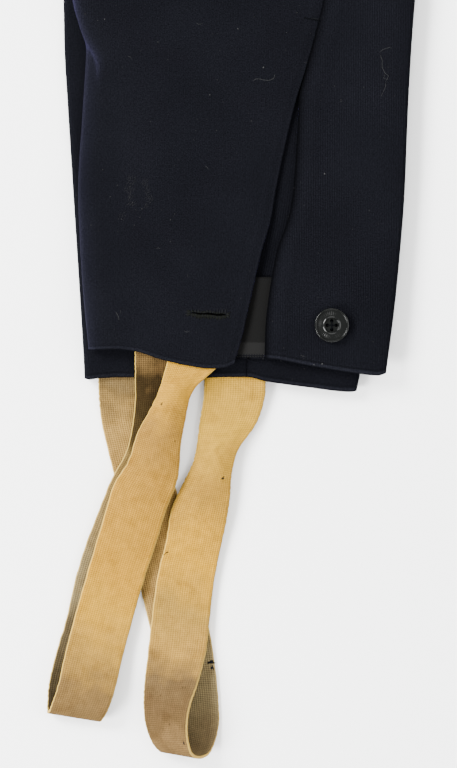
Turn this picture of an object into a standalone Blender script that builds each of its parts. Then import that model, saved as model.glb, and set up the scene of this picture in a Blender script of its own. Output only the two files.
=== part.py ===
"""Riding breeches laid flat in profile, left leg on right leg, with webbing stirrups.

Metres, +Z up, +Y from the hems to the waist, +X from the front of the legs to the
back. Heights are measured along +Y from the middle of the left hem. The garment is
folded at the centre front and centre back, so each leg is a flat tube: its outer
face shows the side seam, its inner face lies against the other leg.
"""

import math
from typing import NamedTuple

import bmesh
import bpy
from mathutils import Vector

# Thickness of each material, and the clearance kept between pieces
CLOTH = 0.0015
BAND = 0.0022
WEB = 0.0015
FACING = 0.0010
GAP = 0.0003

# How the flat layers lie on each other
LEG_GAP = 0.0006  # between the two legs
HOLLOW = 0.0010  # air inside a leg
PUFF = 0.0012  # more air beside its soft folded edges
PUFF_REACH = 0.028
PELVIS_GAP = 0.0009  # between the two halves above the crotch

# Heights along the legs
VENT_TOP = 0.1830
CROTCH = 0.7650
WAIST = 1.0450
BAND_HEIGHT = 0.0440
HEM_REACH = 0.1200  # how far up the slope of the hem still shows

# Seam allowance turned in at centre front and centre back, and the rises to it
ALLOWANCE = 0.0120
FRONT_RISE = 0.0800
BACK_RISE = 0.1100

# Buttons
BUTTON_RADIUS = 0.0091
BUTTON_THICKNESS = 0.0030
BUTTON_STEPS = 24
WELL_RADIUS = 0.0044
HOLE_RADIUS = 0.0009
HOLE_CIRCLE = 0.0023
LEFT_BUTTON = (0.0495, 0.0209)
RIGHT_BUTTON = (0.0355, 0.0096)

# The cloth of the right leg arches over its button, which lies under it
BUTTON_LIFT = 0.0035
LIFT_FLAT = 0.0110
LIFT_REACH = 0.0600
LIFT_OUTSIDE = 0.80  # share of that lift that reaches the top

# Hem facing inside the left leg, where the open vent shows it
FACING_FRONT = -0.0060
FACING_BACK = 0.0500
FACING_TOP = 0.0453

# Rows of points up each leg, closest where the hem and the vent need them
ROWS = [
    0.000, 0.009, 0.019, 0.030, 0.042, 0.055, 0.071, 0.090, 0.110, 0.130,
    0.150, 0.162, 0.172, 0.183, 0.200, 0.235, 0.280, 0.335, 0.395, 0.455,
    0.515, 0.575, 0.635, 0.695, 0.740, 0.765, 0.785, 0.812, 0.845, 0.890,
    0.940, 0.990, 1.045,
]
TURN_STEPS = 4

COLOURS = {
    "navy_wool": ((0.012, 0.013, 0.022), 0.85),
    "webbing": ((0.62, 0.43, 0.21), 0.80),
    "cotton_facing": ((0.030, 0.030, 0.029), 0.80),
    "black_horn": ((0.022, 0.024, 0.023), 0.35),
}


class Station(NamedTuple):
    """Edges and seams of a leg laid flat, at one height."""

    height: float
    front: float
    back: float
    outseam: float
    inseam: float


LEFT_ANKLE = [
    Station(0.000, -0.0790, 0.0785, 0.0060, 0.0050),
    Station(0.034, -0.0824, 0.0826, 0.0115, 0.0060),
    Station(0.060, -0.0843, 0.0855, 0.0170, 0.0066),
    Station(0.090, -0.0853, 0.0882, 0.0246, 0.0072),
    Station(0.140, -0.0824, 0.0903, 0.0316, 0.0080),
    Station(0.168, -0.0806, 0.0915, 0.0390, 0.0084),
    Station(0.178, -0.0837, 0.0920, 0.0414, 0.0085),
    Station(0.193, -0.0875, 0.0938, 0.0453, 0.0088),
]
RIGHT_ANKLE = [
    Station(0.000, -0.0810, 0.0650, 0.0030, 0.0048),
    Station(0.034, -0.0832, 0.0684, 0.0085, 0.0058),
    Station(0.060, -0.0846, 0.0712, 0.0145, 0.0064),
    Station(0.090, -0.0864, 0.0748, 0.0210, 0.0070),
    Station(0.140, -0.0894, 0.0800, 0.0300, 0.0078),
    Station(0.168, -0.0912, 0.0828, 0.0360, 0.0082),
    Station(0.193, -0.0924, 0.0855, 0.0410, 0.0086),
]
UPPER_LEG = [
    Station(0.250, -0.0925, 0.0985, 0.0480, 0.0095),
    Station(0.300, -0.0965, 0.1035, 0.0495, 0.0105),
    Station(0.360, -0.1000, 0.1075, 0.0495, 0.0115),
    Station(0.430, -0.1030, 0.1095, 0.0480, 0.0120),
    Station(0.500, -0.1130, 0.1160, 0.0445, 0.0115),
    Station(0.580, -0.1310, 0.1340, 0.0380, 0.0100),
    Station(0.660, -0.1490, 0.1600, 0.0300, 0.0080),
    Station(0.730, -0.1620, 0.1880, 0.0225, 0.0055),
    Station(0.765, -0.1690, 0.2080, 0.0190, 0.0040),
    Station(0.810, -0.1770, 0.2350, 0.0150, 0.0020),
    Station(0.870, -0.1850, 0.2540, 0.0110, 0.0000),
    Station(0.930, -0.1870, 0.2490, 0.0080, 0.0000),
    Station(0.990, -0.1840, 0.2280, 0.0060, 0.0000),
    Station(1.045, -0.1790, 0.2080, 0.0050, 0.0000),
    Station(1.095, -0.1760, 0.2000, 0.0045, 0.0000),
]
# The right half lies a little to the front of the left half
RIGHT_FRONT_SHIFT = -0.0030
RIGHT_BACK_SHIFT = -0.0050


class Slit(NamedTuple):
    """Edges of the open vent in the left leg, at one height."""

    height: float
    front_flap: float
    back_flap: float


VENT = [
    Slit(0.000, -0.0020, 0.0140),
    Slit(0.016, 0.0027, 0.0145),
    Slit(0.034, 0.0067, 0.0163),
    Slit(0.060, 0.0127, 0.0208),
    Slit(0.077, 0.0175, 0.0265),
    Slit(0.092, 0.0200, 0.0293),
    Slit(0.119, 0.0256, 0.0312),
    Slit(0.141, 0.0310, 0.0323),
    Slit(0.156, 0.0357, 0.0360),
    Slit(VENT_TOP, 0.0430, 0.0433),
]


class Hem(NamedTuple):
    """How far the hem lies above the middle of the left hem, along X."""

    across: float
    rise: float


LEFT_OUTER_HEM = [
    Hem(-0.0790, 0.0080),
    Hem(-0.0640, 0.0086),
    Hem(-0.0540, 0.0074),
    Hem(-0.0400, 0.0030),
    Hem(-0.0270, 0.0000),
    Hem(-0.0150, -0.0017),
    Hem(-0.0080, -0.0015),
    Hem(-0.0020, 0.0008),
    Hem(0.0140, 0.0038),
    Hem(0.0380, 0.0002),
    Hem(0.0640, -0.0038),
    Hem(0.0740, -0.0054),
    Hem(0.0785, -0.0040),
]
LEFT_INNER_HEM = [
    Hem(-0.0790, 0.0088),
    Hem(-0.0550, 0.0100),
    Hem(-0.0300, 0.0080),
    Hem(0.0000, 0.0032),
    Hem(0.0140, 0.0030),
    Hem(0.0400, 0.0014),
    Hem(0.0785, -0.0030),
]
RIGHT_INNER_HEM = [
    Hem(-0.0806, -0.0080),
    Hem(-0.0735, -0.0069),
    Hem(-0.0625, -0.0063),
    Hem(-0.0350, -0.0068),
    Hem(0.0050, -0.0062),
    Hem(0.0150, -0.0085),
    Hem(0.0375, -0.0117),
    Hem(0.0600, -0.0141),
    Hem(0.0645, -0.0125),
]
RIGHT_OUTER_TUCK = 0.0015  # the hidden outer hem lies this much higher


class Rung(NamedTuple):
    """The two edges of a strap at one place along it, and how far it arches up."""

    left: tuple
    right: tuple
    arch: float = 0.0


# Each strap from its upper end under the hem, down, round the loop and back up
LEFT_STRAP = [
    Rung((-0.0350, 0.0165, 0.0098), (-0.0060, 0.0125, 0.0098)),
    Rung((-0.0370, 0.0040, 0.0099), (-0.0100, 0.0000, 0.0098), 0.0004),
    Rung((-0.0415, -0.0135, 0.0105), (-0.0240, -0.0135, 0.0062), 0.0055),
    Rung((-0.0475, -0.0260, 0.0105), (-0.0285, -0.0310, 0.0058), 0.0060),
    Rung((-0.0530, -0.0360, 0.0100), (-0.0305, -0.0430, 0.0056), 0.0050),
    Rung((-0.0580, -0.0510, 0.0092), (-0.0320, -0.0600, 0.0054), 0.0034),
    Rung((-0.0660, -0.0640, 0.0080), (-0.0380, -0.0765, 0.0052), 0.0018),
    Rung((-0.0720, -0.0840, 0.0068), (-0.0430, -0.0930, 0.0052), 0.0008),
    Rung((-0.0780, -0.1035, 0.0060), (-0.0490, -0.1115, 0.0051)),
    Rung((-0.0835, -0.1230, 0.0056), (-0.0545, -0.1300, 0.0050)),
    Rung((-0.0900, -0.1465, 0.0066), (-0.0610, -0.1545, 0.0058)),
    Rung((-0.0950, -0.1685, 0.0096), (-0.0655, -0.1735, 0.0086)),
    Rung((-0.0985, -0.1795, 0.0100), (-0.0695, -0.1840, 0.0092)),
    Rung((-0.1008, -0.1840, 0.0054), (-0.0730, -0.1885, 0.0050)),
    Rung((-0.1012, -0.1790, 0.0014), (-0.0722, -0.1835, 0.0011)),
    Rung((-0.1002, -0.1680, 0.0009), (-0.0705, -0.1725, 0.0009)),
    Rung((-0.0960, -0.1510, 0.0009), (-0.0668, -0.1585, 0.0009)),
    Rung((-0.0905, -0.1340, 0.0012), (-0.0615, -0.1425, 0.0012)),
    Rung((-0.0850, -0.1155, 0.0024), (-0.0555, -0.1225, 0.0024)),
    Rung((-0.0800, -0.0970, 0.0029), (-0.0512, -0.1055, 0.0030)),
    Rung((-0.0745, -0.0790, 0.0030), (-0.0460, -0.0885, 0.0030)),
    Rung((-0.0675, -0.0615, 0.0033), (-0.0400, -0.0735, 0.0028)),
    Rung((-0.0588, -0.0445, 0.0046), (-0.0335, -0.0525, 0.0027), 0.0008),
    Rung((-0.0548, -0.0240, 0.0056), (-0.0290, -0.0280, 0.0026), 0.0020),
    Rung((-0.0545, -0.0080, 0.0066), (-0.0262, -0.0090, 0.0060), 0.0008),
    Rung((-0.0545, 0.0030, 0.0071), (-0.0250, 0.0025, 0.0070)),
    Rung((-0.0545, 0.0120, 0.0080), (-0.0245, 0.0115, 0.0080)),
    Rung((-0.0545, 0.0230, 0.0080), (-0.0245, 0.0225, 0.0080)),
]
RIGHT_STRAP = [
    Rung((-0.0175, 0.0130, 0.0027), (0.0150, 0.0120, 0.0027)),
    Rung((-0.0178, -0.0060, 0.0027), (0.0147, -0.0072, 0.0027)),
    Rung((-0.0182, -0.0170, 0.0024), (0.0140, -0.0185, 0.0030)),
    Rung((-0.0202, -0.0300, 0.0022), (0.0095, -0.0315, 0.0036), 0.0010),
    Rung((-0.0218, -0.0440, 0.0024), (0.0000, -0.0450, 0.0052), 0.0048),
    Rung((-0.0240, -0.0530, 0.0026), (-0.0035, -0.0580, 0.0062), 0.0056),
    Rung((-0.0300, -0.0650, 0.0029), (-0.0042, -0.0695, 0.0056), 0.0032),
    Rung((-0.0352, -0.0770, 0.0029), (-0.0062, -0.0830, 0.0044), 0.0014),
    Rung((-0.0380, -0.0930, 0.0029), (-0.0095, -0.0985, 0.0034)),
    Rung((-0.0424, -0.1110, 0.0029), (-0.0128, -0.1155, 0.0030)),
    Rung((-0.0453, -0.1310, 0.0029), (-0.0149, -0.1340, 0.0030)),
    Rung((-0.0474, -0.1500, 0.0032), (-0.0170, -0.1520, 0.0044)),
    Rung((-0.0493, -0.1670, 0.0038), (-0.0212, -0.1680, 0.0096)),
    Rung((-0.0498, -0.1790, 0.0046), (-0.0254, -0.1800, 0.0145)),
    Rung((-0.0488, -0.1895, 0.0054), (-0.0270, -0.1905, 0.0176)),
    Rung((-0.0456, -0.1990, 0.0056), (-0.0264, -0.1985, 0.0184)),
    Rung((-0.0416, -0.2040, 0.0048), (-0.0244, -0.2052, 0.0168)),
    Rung((-0.0386, -0.2047, 0.0033), (-0.0205, -0.2076, 0.0120)),
    Rung((-0.0370, -0.2020, 0.0018), (-0.0155, -0.2060, 0.0068)),
    Rung((-0.0371, -0.1950, 0.0011), (-0.0124, -0.2005, 0.0034)),
    Rung((-0.0384, -0.1870, 0.0009), (-0.0104, -0.1930, 0.0014)),
    Rung((-0.0397, -0.1790, 0.0009), (-0.0100, -0.1850, 0.0009)),
    Rung((-0.0414, -0.1670, 0.0009), (-0.0114, -0.1660, 0.0009)),
    Rung((-0.0450, -0.1480, 0.0009), (-0.0148, -0.1425, 0.0009)),
    Rung((-0.0505, -0.1235, 0.0009), (-0.0210, -0.1165, 0.0009)),
    Rung((-0.0563, -0.0990, 0.0009), (-0.0267, -0.0920, 0.0009)),
    Rung((-0.0621, -0.0740, 0.0009), (-0.0325, -0.0675, 0.0009)),
    Rung((-0.0679, -0.0495, 0.0009), (-0.0382, -0.0435, 0.0009)),
    Rung((-0.0722, -0.0315, 0.0009), (-0.0424, -0.0285, 0.0009)),
    Rung((-0.0739, -0.0165, 0.0013), (-0.0436, -0.0155, 0.0013)),
    Rung((-0.0742, -0.0060, 0.0024), (-0.0440, -0.0055, 0.0024)),
    Rung((-0.0742, 0.0090, 0.0027), (-0.0440, 0.0090, 0.0027)),
]
STRAP_CUTS = 2  # lengths that each stretch between two rungs is cut into
STRAP_LANES = 4
# Height where each strap starts to settle onto the cloth inside its leg, and over how far
LEFT_SETTLE = (-0.014, 0.012)
RIGHT_SETTLE = (-0.030, 0.018)


def ease(share):
    """0 to 1 with level ends."""
    share = min(max(share, 0.0), 1.0)
    return share * share * (3 - 2 * share)


def mix(low, high, share):
    return low + (high - low) * share


def through(table, x):
    """A smooth curve through (x, y) pairs that never overshoots them."""
    if x <= table[0][0]:
        return table[0][1]
    if x >= table[-1][0]:
        return table[-1][1]
    steps = [
        (b[1] - a[1]) / (b[0] - a[0]) for a, b in zip(table, table[1:], strict=False)
    ]
    i = max(k for k in range(len(steps)) if table[k][0] <= x)

    def slope(k):
        if k in (0, len(steps)):
            return steps[min(k, len(steps) - 1)]
        before, after = steps[k - 1], steps[k]
        return 2 * before * after / (before + after) if before * after > 0 else 0.0

    (x0, y0), (x1, y1) = table[i], table[i + 1]
    wide, rise = x1 - x0, y1 - y0
    t = (x - x0) / wide
    bend = (wide * slope(i) - rise) * (1 - t) + (rise - wide * slope(i + 1)) * t
    return y0 + rise * t + t * (1 - t) * bend


class Leg:
    """One half of the garment: its edges, seams and hems laid flat."""

    def __init__(self, stations, outer_hem, inner_hem, vent=None):
        self.stations = stations
        self.outer_hem = outer_hem
        self.inner_hem = inner_hem
        self.vent = vent

    def at(self, column, height):
        return through([(s.height, getattr(s, column)) for s in self.stations], height)

    def seam(self, panel, height):
        """Where a panel ends at the side seam, or at its flap of the vent."""
        if self.vent and height < VENT_TOP:
            column = "front_flap" if panel == "front" else "back_flap"
            return through([(s.height, getattr(s, column)) for s in self.vent], height)
        half = -GAP / 2 if panel == "front" else GAP / 2
        return self.at("outseam", height) + half

    def inner_end(self, panel, height):
        """Where a panel ends inside: at the inseam, then along the crotch curve."""
        half = -GAP / 2 if panel == "front" else GAP / 2
        inseam = self.at("inseam", height) + half
        rise = FRONT_RISE if panel == "front" else BACK_RISE
        share = min(max((height - CROTCH) / rise, 0.0), 1.0)
        turned_in = self.at(panel, height) + (
            ALLOWANCE if panel == "front" else -ALLOWANCE
        )
        return mix(inseam, turned_in, 1 - (1 - share) ** 2)

    def hem_rise(self, x, height, outer):
        fade = 1 - min(max(height / HEM_REACH, 0.0), 1.0)
        table = self.outer_hem if outer else self.inner_hem
        return through(table, x) * fade * fade

    def puff(self, x, height):
        """1 at the soft folded edges, 0 in the middle."""
        inward = min(x - self.at("front", height), self.at("back", height) - x)
        return 1 - ease(inward / PUFF_REACH)

    def open_pelvis(self, x, height):
        """1 where no inner face lies between the two halves."""
        if height <= CROTCH:
            return 0.0
        inward = min(
            x - self.inner_end("front", height), self.inner_end("back", height) - x
        )
        return ease((inward - 0.020) / 0.060)


def shifted(stations, front, back):
    return [s._replace(front=s.front + front, back=s.back + back) for s in stations]


def raised(hem, rise):
    return [h._replace(rise=h.rise + rise) for h in hem]


LEFT = Leg(LEFT_ANKLE + UPPER_LEG, LEFT_OUTER_HEM, LEFT_INNER_HEM, VENT)
RIGHT = Leg(
    RIGHT_ANKLE + shifted(UPPER_LEG, RIGHT_FRONT_SHIFT, RIGHT_BACK_SHIFT),
    raised(RIGHT_INNER_HEM, RIGHT_OUTER_TUCK),
    RIGHT_INNER_HEM,
)


def patch(x, y, low_x, high_x, high_y, fade):
    """1 in a region at the hem, fading to 0 outside it."""
    past = max(low_x - x, x - high_x, y - high_y, 0.0)
    return 1 - ease(past / fade)


def button_bump(x, y):
    away = math.hypot(x - RIGHT_BUTTON[0], y - RIGHT_BUTTON[1])
    return 1 - ease((away - LIFT_FLAT) / (LIFT_REACH - LIFT_FLAT))


def right_outer(x, y, wall=CLOTH):
    """Middle of the wall that lies on the floor."""
    return wall / 2 + BUTTON_LIFT * button_bump(x, y)


def right_inner(x, y, wall=CLOTH):
    """Middle of the right leg's upper wall, over its strap ends."""
    straps = 0.0014 * patch(x, y, -0.085, 0.030, 0.018, 0.045)
    air = HOLLOW + PUFF * RIGHT.puff(x, y) + straps
    return right_outer(x, y, wall) + wall + air


def left_inner(x, y, wall=CLOTH):
    return right_inner(x, y, wall) + wall + LEG_GAP


def left_outer(x, y, wall=CLOTH):
    """Middle of the top wall, over the strap ends and the hem facing."""
    straps = 0.0033 * patch(x, y, -0.060, -0.003, 0.026, 0.045)
    facing = 0.0022 * patch(x, y, -0.014, 0.058, 0.050, 0.035)
    air = HOLLOW + PUFF * LEFT.puff(x, y) + max(straps, facing)
    drop = (1 - LIFT_OUTSIDE) * BUTTON_LIFT * button_bump(x, y)
    stacked = left_inner(x, y, wall) + wall + air - drop
    fallen = wall / 2 + wall + PELVIS_GAP
    return mix(stacked, fallen, LEFT.open_pelvis(x, y))


class Pile(NamedTuple):
    """A leg, and functions of x, y and wall that give its outer and inner heights."""

    leg: Leg
    outer: object
    inner: object


LEFT_PILE = Pile(LEFT, left_outer, left_inner)
RIGHT_PILE = Pile(RIGHT, right_outer, right_inner)


def outer_run(pile, start, end, height, steps, wall):
    """Points across the outer face, from start towards end, without the last."""
    points = []
    for i in range(steps):
        x = mix(start, end, i / steps)
        y = height + pile.leg.hem_rise(x, height, outer=True)
        points.append((x, y, pile.outer(x, y, wall)))
    return points


def turn(pile, panel, height, wall):
    """Points round a soft folded edge, from the outer face to the inner one."""
    leg = pile.leg
    way = 1 if panel == "front" else -1
    edge = leg.at(panel, height) + way * wall / 2
    guess = edge + way * (CLOTH + HOLLOW + PUFF) / 2
    y = height + leg.hem_rise(guess, height, outer=True)
    top, bottom = pile.outer(guess, y, wall), pile.inner(guess, y, wall)
    radius, middle = (top - bottom) / 2, (top + bottom) / 2
    centre = edge + way * abs(radius)
    points = []
    for i in range(TURN_STEPS + 1):
        angle = math.pi * i / TURN_STEPS
        share = i / TURN_STEPS
        rise = mix(
            leg.hem_rise(centre, height, outer=True),
            leg.hem_rise(centre, height, outer=False),
            share,
        )
        x = centre - way * abs(radius) * math.sin(angle)
        points.append((x, height + rise, middle + radius * math.cos(angle)))
    return points


def inner_run(pile, start, end, height, steps, wall):
    """Points across the inner face, from start to end, without the first."""
    points = []
    for i in range(1, steps + 1):
        x = mix(start, end, i / steps)
        y = height + pile.leg.hem_rise(x, height, outer=False)
        points.append((x, y, pile.inner(x, y, wall)))
    return points


def panel_row(pile, panel, height, outer_steps, inner_steps):
    """One row of a front or back panel: side seam, folded edge, inseam."""
    leg = pile.leg
    bend = turn(pile, panel, height, CLOTH)
    outer = outer_run(
        pile, leg.seam(panel, height), bend[0][0], height, outer_steps, CLOTH
    )
    inner = inner_run(
        pile, bend[-1][0], leg.inner_end(panel, height), height, inner_steps, CLOTH
    )
    return outer + bend + inner


def band_row(pile, height, outer_steps):
    """One row of half the waistband: turned end, centre front, centre back, end."""
    leg = pile.leg
    front, back = turn(pile, "front", height, BAND), turn(pile, "back", height, BAND)
    front_end = inner_run(
        pile, front[-1][0], leg.at("front", height) + ALLOWANCE, height, 1, BAND
    )
    back_end = inner_run(
        pile, back[-1][0], leg.at("back", height) - ALLOWANCE, height, 1, BAND
    )
    across = outer_run(pile, front[0][0], back[0][0], height, outer_steps, BAND)
    return front_end + front[::-1] + across[1:] + back + back_end


def material(name):
    found = bpy.data.materials.get(name)
    if found:
        return found
    colour, roughness = COLOURS[name]
    made = bpy.data.materials.new(name)
    made.use_nodes = True
    shader = made.node_tree.nodes["Principled BSDF"]
    shader.inputs["Base Color"].default_value = (*colour, 1)
    shader.inputs["Roughness"].default_value = roughness
    made.diffuse_color = (*colour, 1)
    return made


def add_object(name, mesh, slot, collection):
    mesh.materials.append(material(slot))
    obj = bpy.data.objects.new(name, mesh)
    collection.objects.link(obj)
    return obj


def loft(name, rows, thickness, slot, collection):
    """A cloth wall through rows of points, with the points as its middle."""
    wide = len(rows[0])
    faces = [
        (r * wide + c, r * wide + c + 1, (r + 1) * wide + c + 1, (r + 1) * wide + c)
        for r in range(len(rows) - 1)
        for c in range(wide - 1)
    ]
    mesh = bpy.data.meshes.new(name)
    mesh.from_pydata([p for row in rows for p in row], [], faces)
    mesh.shade_smooth()
    obj = add_object(name, mesh, slot, collection)
    shell = obj.modifiers.new("wall", "SOLIDIFY")
    shell.thickness = thickness
    shell.offset = 0
    shell.use_even_offset = True
    return obj


def leg_panels(side, pile, outer_steps, inner_steps, collection):
    for panel in ("front", "back"):
        rows = [
            panel_row(pile, panel, h, outer_steps[panel], inner_steps) for h in ROWS
        ]
        loft(f"{side}_{panel}", rows, CLOTH, "navy_wool", collection)


def waistband(side, pile, collection):
    base = WAIST + GAP
    rows = [
        band_row(pile, base + BAND_HEIGHT * share, 9) for share in (0, 1 / 3, 2 / 3, 1)
    ]
    loft(f"waistband_{side}", rows, BAND, "navy_wool", collection)


def hem_facing(collection):
    """The cotton facing on the inside of the left leg's inner face."""
    low, high = 0.0012, FACING_TOP
    rows = []
    for i in range(9):
        height = mix(low, high, i / 8)
        row = []
        for j in range(9):
            x = mix(FACING_FRONT, FACING_BACK, j / 8)
            y = height + LEFT.hem_rise(x, height, outer=False)
            row.append((x, y, left_inner(x, y) + (CLOTH + FACING) / 2 + 2 * GAP))
        rows.append(row)
    loft("left_hem_facing", rows, FACING, "cotton_facing", collection)


def strap_line(rungs):
    """The rungs with smooth ones put in between."""
    line = []
    ends = [rungs[0], *rungs, rungs[-1]]
    for before, start, end, after in zip(
        ends, ends[1:], ends[2:], ends[3:], strict=False
    ):
        for k in range(STRAP_CUTS):
            t = k / STRAP_CUTS
            line.append(between(before, start, end, after, t))
    line.append(rungs[-1])
    return line


def between(before, start, end, after, t):
    """A rung on the smooth curve through four rungs, at share t of the middle two."""

    def blend(a, b, c, d):
        return b + 0.5 * t * (
            c - a + t * (2 * a - 5 * b + 4 * c - d + t * (3 * (b - c) + d - a))
        )

    def edge(side):
        four = (getattr(r, side) for r in (before, start, end, after))
        return tuple(blend(*axis) for axis in zip(*four, strict=True))

    arch = mix(start.arch, end.arch, t)
    return Rung(edge("left"), edge("right"), arch)


def strap(name, rungs, under, first_end, settle, collection):
    """A flat strap of webbing through its rungs.

    Inside the leg its ends lie on the wall whose middle is under(x, y), and the
    first end lies first_end higher.
    """
    rows = []
    line = strap_line(rungs)
    for i, rung in enumerate(line):
        extra = first_end if i < len(line) / 2 else 0.0
        row = []
        for k in range(STRAP_LANES + 1):
            share = k / STRAP_LANES
            point = Vector(rung.left).lerp(Vector(rung.right), share)
            free = point.z + rung.arch * math.sin(math.pi * share)
            laid = under(point.x, point.y) + (CLOTH + WEB) / 2 + GAP + extra
            point.z = mix(free, laid, ease((point.y - settle[0]) / settle[1]))
            row.append(point)
        rows.append(row)
    loft(name, rows, WEB, "webbing", collection)


def button_mesh():
    """A turned button with a raised rim and a dished well, face up from z 0."""
    thick = BUTTON_THICKNESS
    profile = [
        (0.0, 0.55 * thick),
        (0.65 * WELL_RADIUS, 0.56 * thick),
        (0.95 * WELL_RADIUS, 0.80 * thick),
        (1.15 * WELL_RADIUS, 0.84 * thick),
        (BUTTON_RADIUS * 0.86, 0.86 * thick),
        (BUTTON_RADIUS * 0.91, thick),
        (BUTTON_RADIUS * 0.97, 0.97 * thick),
        (BUTTON_RADIUS, 0.72 * thick),
        (BUTTON_RADIUS * 0.92, 0.30 * thick),
        (BUTTON_RADIUS * 0.55, 0.0),
        (0.0, 0.0),
    ]
    mesh = bpy.data.meshes.new("button_profile")
    edges = [(i, i + 1) for i in range(len(profile) - 1)]
    mesh.from_pydata([(r, 0, z) for r, z in profile], edges, [])
    return mesh


def baked(obj):
    """The object's mesh as its modifiers leave it."""
    graph = bpy.context.evaluated_depsgraph_get()
    return bpy.data.meshes.new_from_object(obj.evaluated_get(graph))


def hole_cutter(collection):
    """Four rods, one for each sewing hole."""
    mesh = bpy.data.meshes.new("button_holes")
    rods = bmesh.new()
    for k in range(4):
        angle = k * math.pi / 2
        made = bmesh.ops.create_cone(
            rods,
            cap_ends=True,
            segments=8,
            radius1=HOLE_RADIUS,
            radius2=HOLE_RADIUS,
            depth=3 * BUTTON_THICKNESS,
        )
        place = Vector((math.cos(angle), math.sin(angle), 0)) * HOLE_CIRCLE
        bmesh.ops.translate(rods, verts=made["verts"], vec=place)
    rods.to_mesh(mesh)
    rods.free()
    cutter = bpy.data.objects.new("button_holes", mesh)
    collection.objects.link(cutter)
    cutter.hide_render = True
    cutter.display_type = "WIRE"
    return cutter


def turned_button(helpers):
    """The one button mesh that all the buttons share."""
    blank = bpy.data.objects.new("button_blank", button_mesh())
    helpers.objects.link(blank)
    spin = blank.modifiers.new("spin", "SCREW")
    spin.steps = spin.render_steps = BUTTON_STEPS
    spin.use_merge_vertices = True
    spin.merge_threshold = 0.00001
    drill = blank.modifiers.new("drill", "BOOLEAN")
    drill.operation = "DIFFERENCE"
    drill.object = hole_cutter(helpers)
    bpy.context.view_layer.update()
    mesh = baked(blank)
    mesh.name = "button"
    bpy.data.objects.remove(blank)
    mesh.shade_smooth()
    mesh.set_sharp_from_angle(angle=math.radians(40))
    mesh.materials.clear()
    mesh.materials.append(material("black_horn"))
    return mesh


def buttons(collection, helpers):
    mesh = turned_button(helpers)
    places = {
        "left_button": (
            *LEFT_BUTTON,
            left_outer(*LEFT_BUTTON) + CLOTH / 2 + GAP,
            0.0,
        ),
        "right_button": (*RIGHT_BUTTON, BUTTON_THICKNESS, math.pi),
    }
    for name, (x, y, z, roll) in places.items():
        obj = bpy.data.objects.new(name, mesh)
        obj.location = (x, y, z)
        obj.rotation_euler = (0, roll, 0)
        collection.objects.link(obj)


def centre_on_origin(collection):
    """Puts the origin under the middle of the whole garment."""
    bpy.context.view_layer.update()
    graph = bpy.context.evaluated_depsgraph_get()
    corners = []
    for obj in collection.objects:
        shown = obj.evaluated_get(graph)
        corners += [shown.matrix_world @ Vector(c) for c in shown.bound_box]
    low = Vector(map(min, *corners))
    high = Vector(map(max, *corners))
    for obj in collection.objects:
        obj.location -= Vector(((low.x + high.x) / 2, (low.y + high.y) / 2, low.z))


def main():
    for obj in list(bpy.data.objects):
        bpy.data.objects.remove(obj)
    garment = bpy.data.collections.new("riding_breeches")
    helpers = bpy.data.collections.new("cutters")
    for collection in (garment, helpers):
        bpy.context.scene.collection.children.link(collection)
    leg_panels("left", LEFT_PILE, {"front": 9, "back": 6}, 6, garment)
    leg_panels("right", RIGHT_PILE, {"front": 8, "back": 6}, 6, garment)
    waistband("left", LEFT_PILE, garment)
    waistband("right", RIGHT_PILE, garment)
    hem_facing(garment)
    strap(
        "left_stirrup_strap", LEFT_STRAP, left_inner, WEB + GAP, LEFT_SETTLE, garment
    )
    strap(
        "right_stirrup_strap", RIGHT_STRAP, right_outer, 0.0, RIGHT_SETTLE, garment
    )
    buttons(garment, helpers)
    centre_on_origin(garment)


main()
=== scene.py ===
"""The riding breeches as photographed: straight down on the ankles, laid flat.

Sizes are in metres, and in the tables of rows in millimetres. Until each piece is
placed they are measured as the cloth was laid out: X from the front of the leg to
the back, Y up the leg from the middle of the left hem, Z up from the floor.
"""

from collections import namedtuple
from math import cos, pi, radians, sin, sqrt

import bpy
import numpy as np
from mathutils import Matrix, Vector


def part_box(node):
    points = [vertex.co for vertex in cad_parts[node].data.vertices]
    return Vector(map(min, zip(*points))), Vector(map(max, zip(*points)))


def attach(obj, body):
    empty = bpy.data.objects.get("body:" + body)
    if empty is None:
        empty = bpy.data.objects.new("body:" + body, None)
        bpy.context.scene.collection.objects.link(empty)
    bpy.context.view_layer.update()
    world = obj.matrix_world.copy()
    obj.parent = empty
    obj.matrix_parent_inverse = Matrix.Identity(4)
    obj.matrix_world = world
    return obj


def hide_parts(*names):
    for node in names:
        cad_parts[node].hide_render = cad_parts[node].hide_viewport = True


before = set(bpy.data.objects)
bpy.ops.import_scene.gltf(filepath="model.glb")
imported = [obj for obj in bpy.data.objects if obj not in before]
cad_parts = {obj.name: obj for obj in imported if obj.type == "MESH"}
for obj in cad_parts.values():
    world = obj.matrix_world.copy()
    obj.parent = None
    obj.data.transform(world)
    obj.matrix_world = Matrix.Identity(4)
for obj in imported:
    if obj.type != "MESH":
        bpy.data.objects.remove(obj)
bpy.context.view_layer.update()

# Thickness of each material, and the clearance kept between pieces
CLOTH = 0.0015
BAND = 0.0022
WEB = 0.0015
FACING = 0.0010
GAP = 0.0003
SEAM = 0.00004

# How the flat layers lie on each other
LEG_GAP = 0.0006
HOLLOW = 0.0010
PUFF = 0.0012
PUFF_REACH = 0.028
PELVIS_GAP = 0.0009

# Heights along the legs
VENT_TOP = 0.1830
ANKLE_TOP = 0.2150
CROTCH = 0.7650
WAIST = 1.0450
BAND_HEIGHT = 0.0440
HEM_REACH = 0.1200

ALLOWANCE = 0.0120
FRONT_RISE = 0.0800
BACK_RISE = 0.1100

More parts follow.
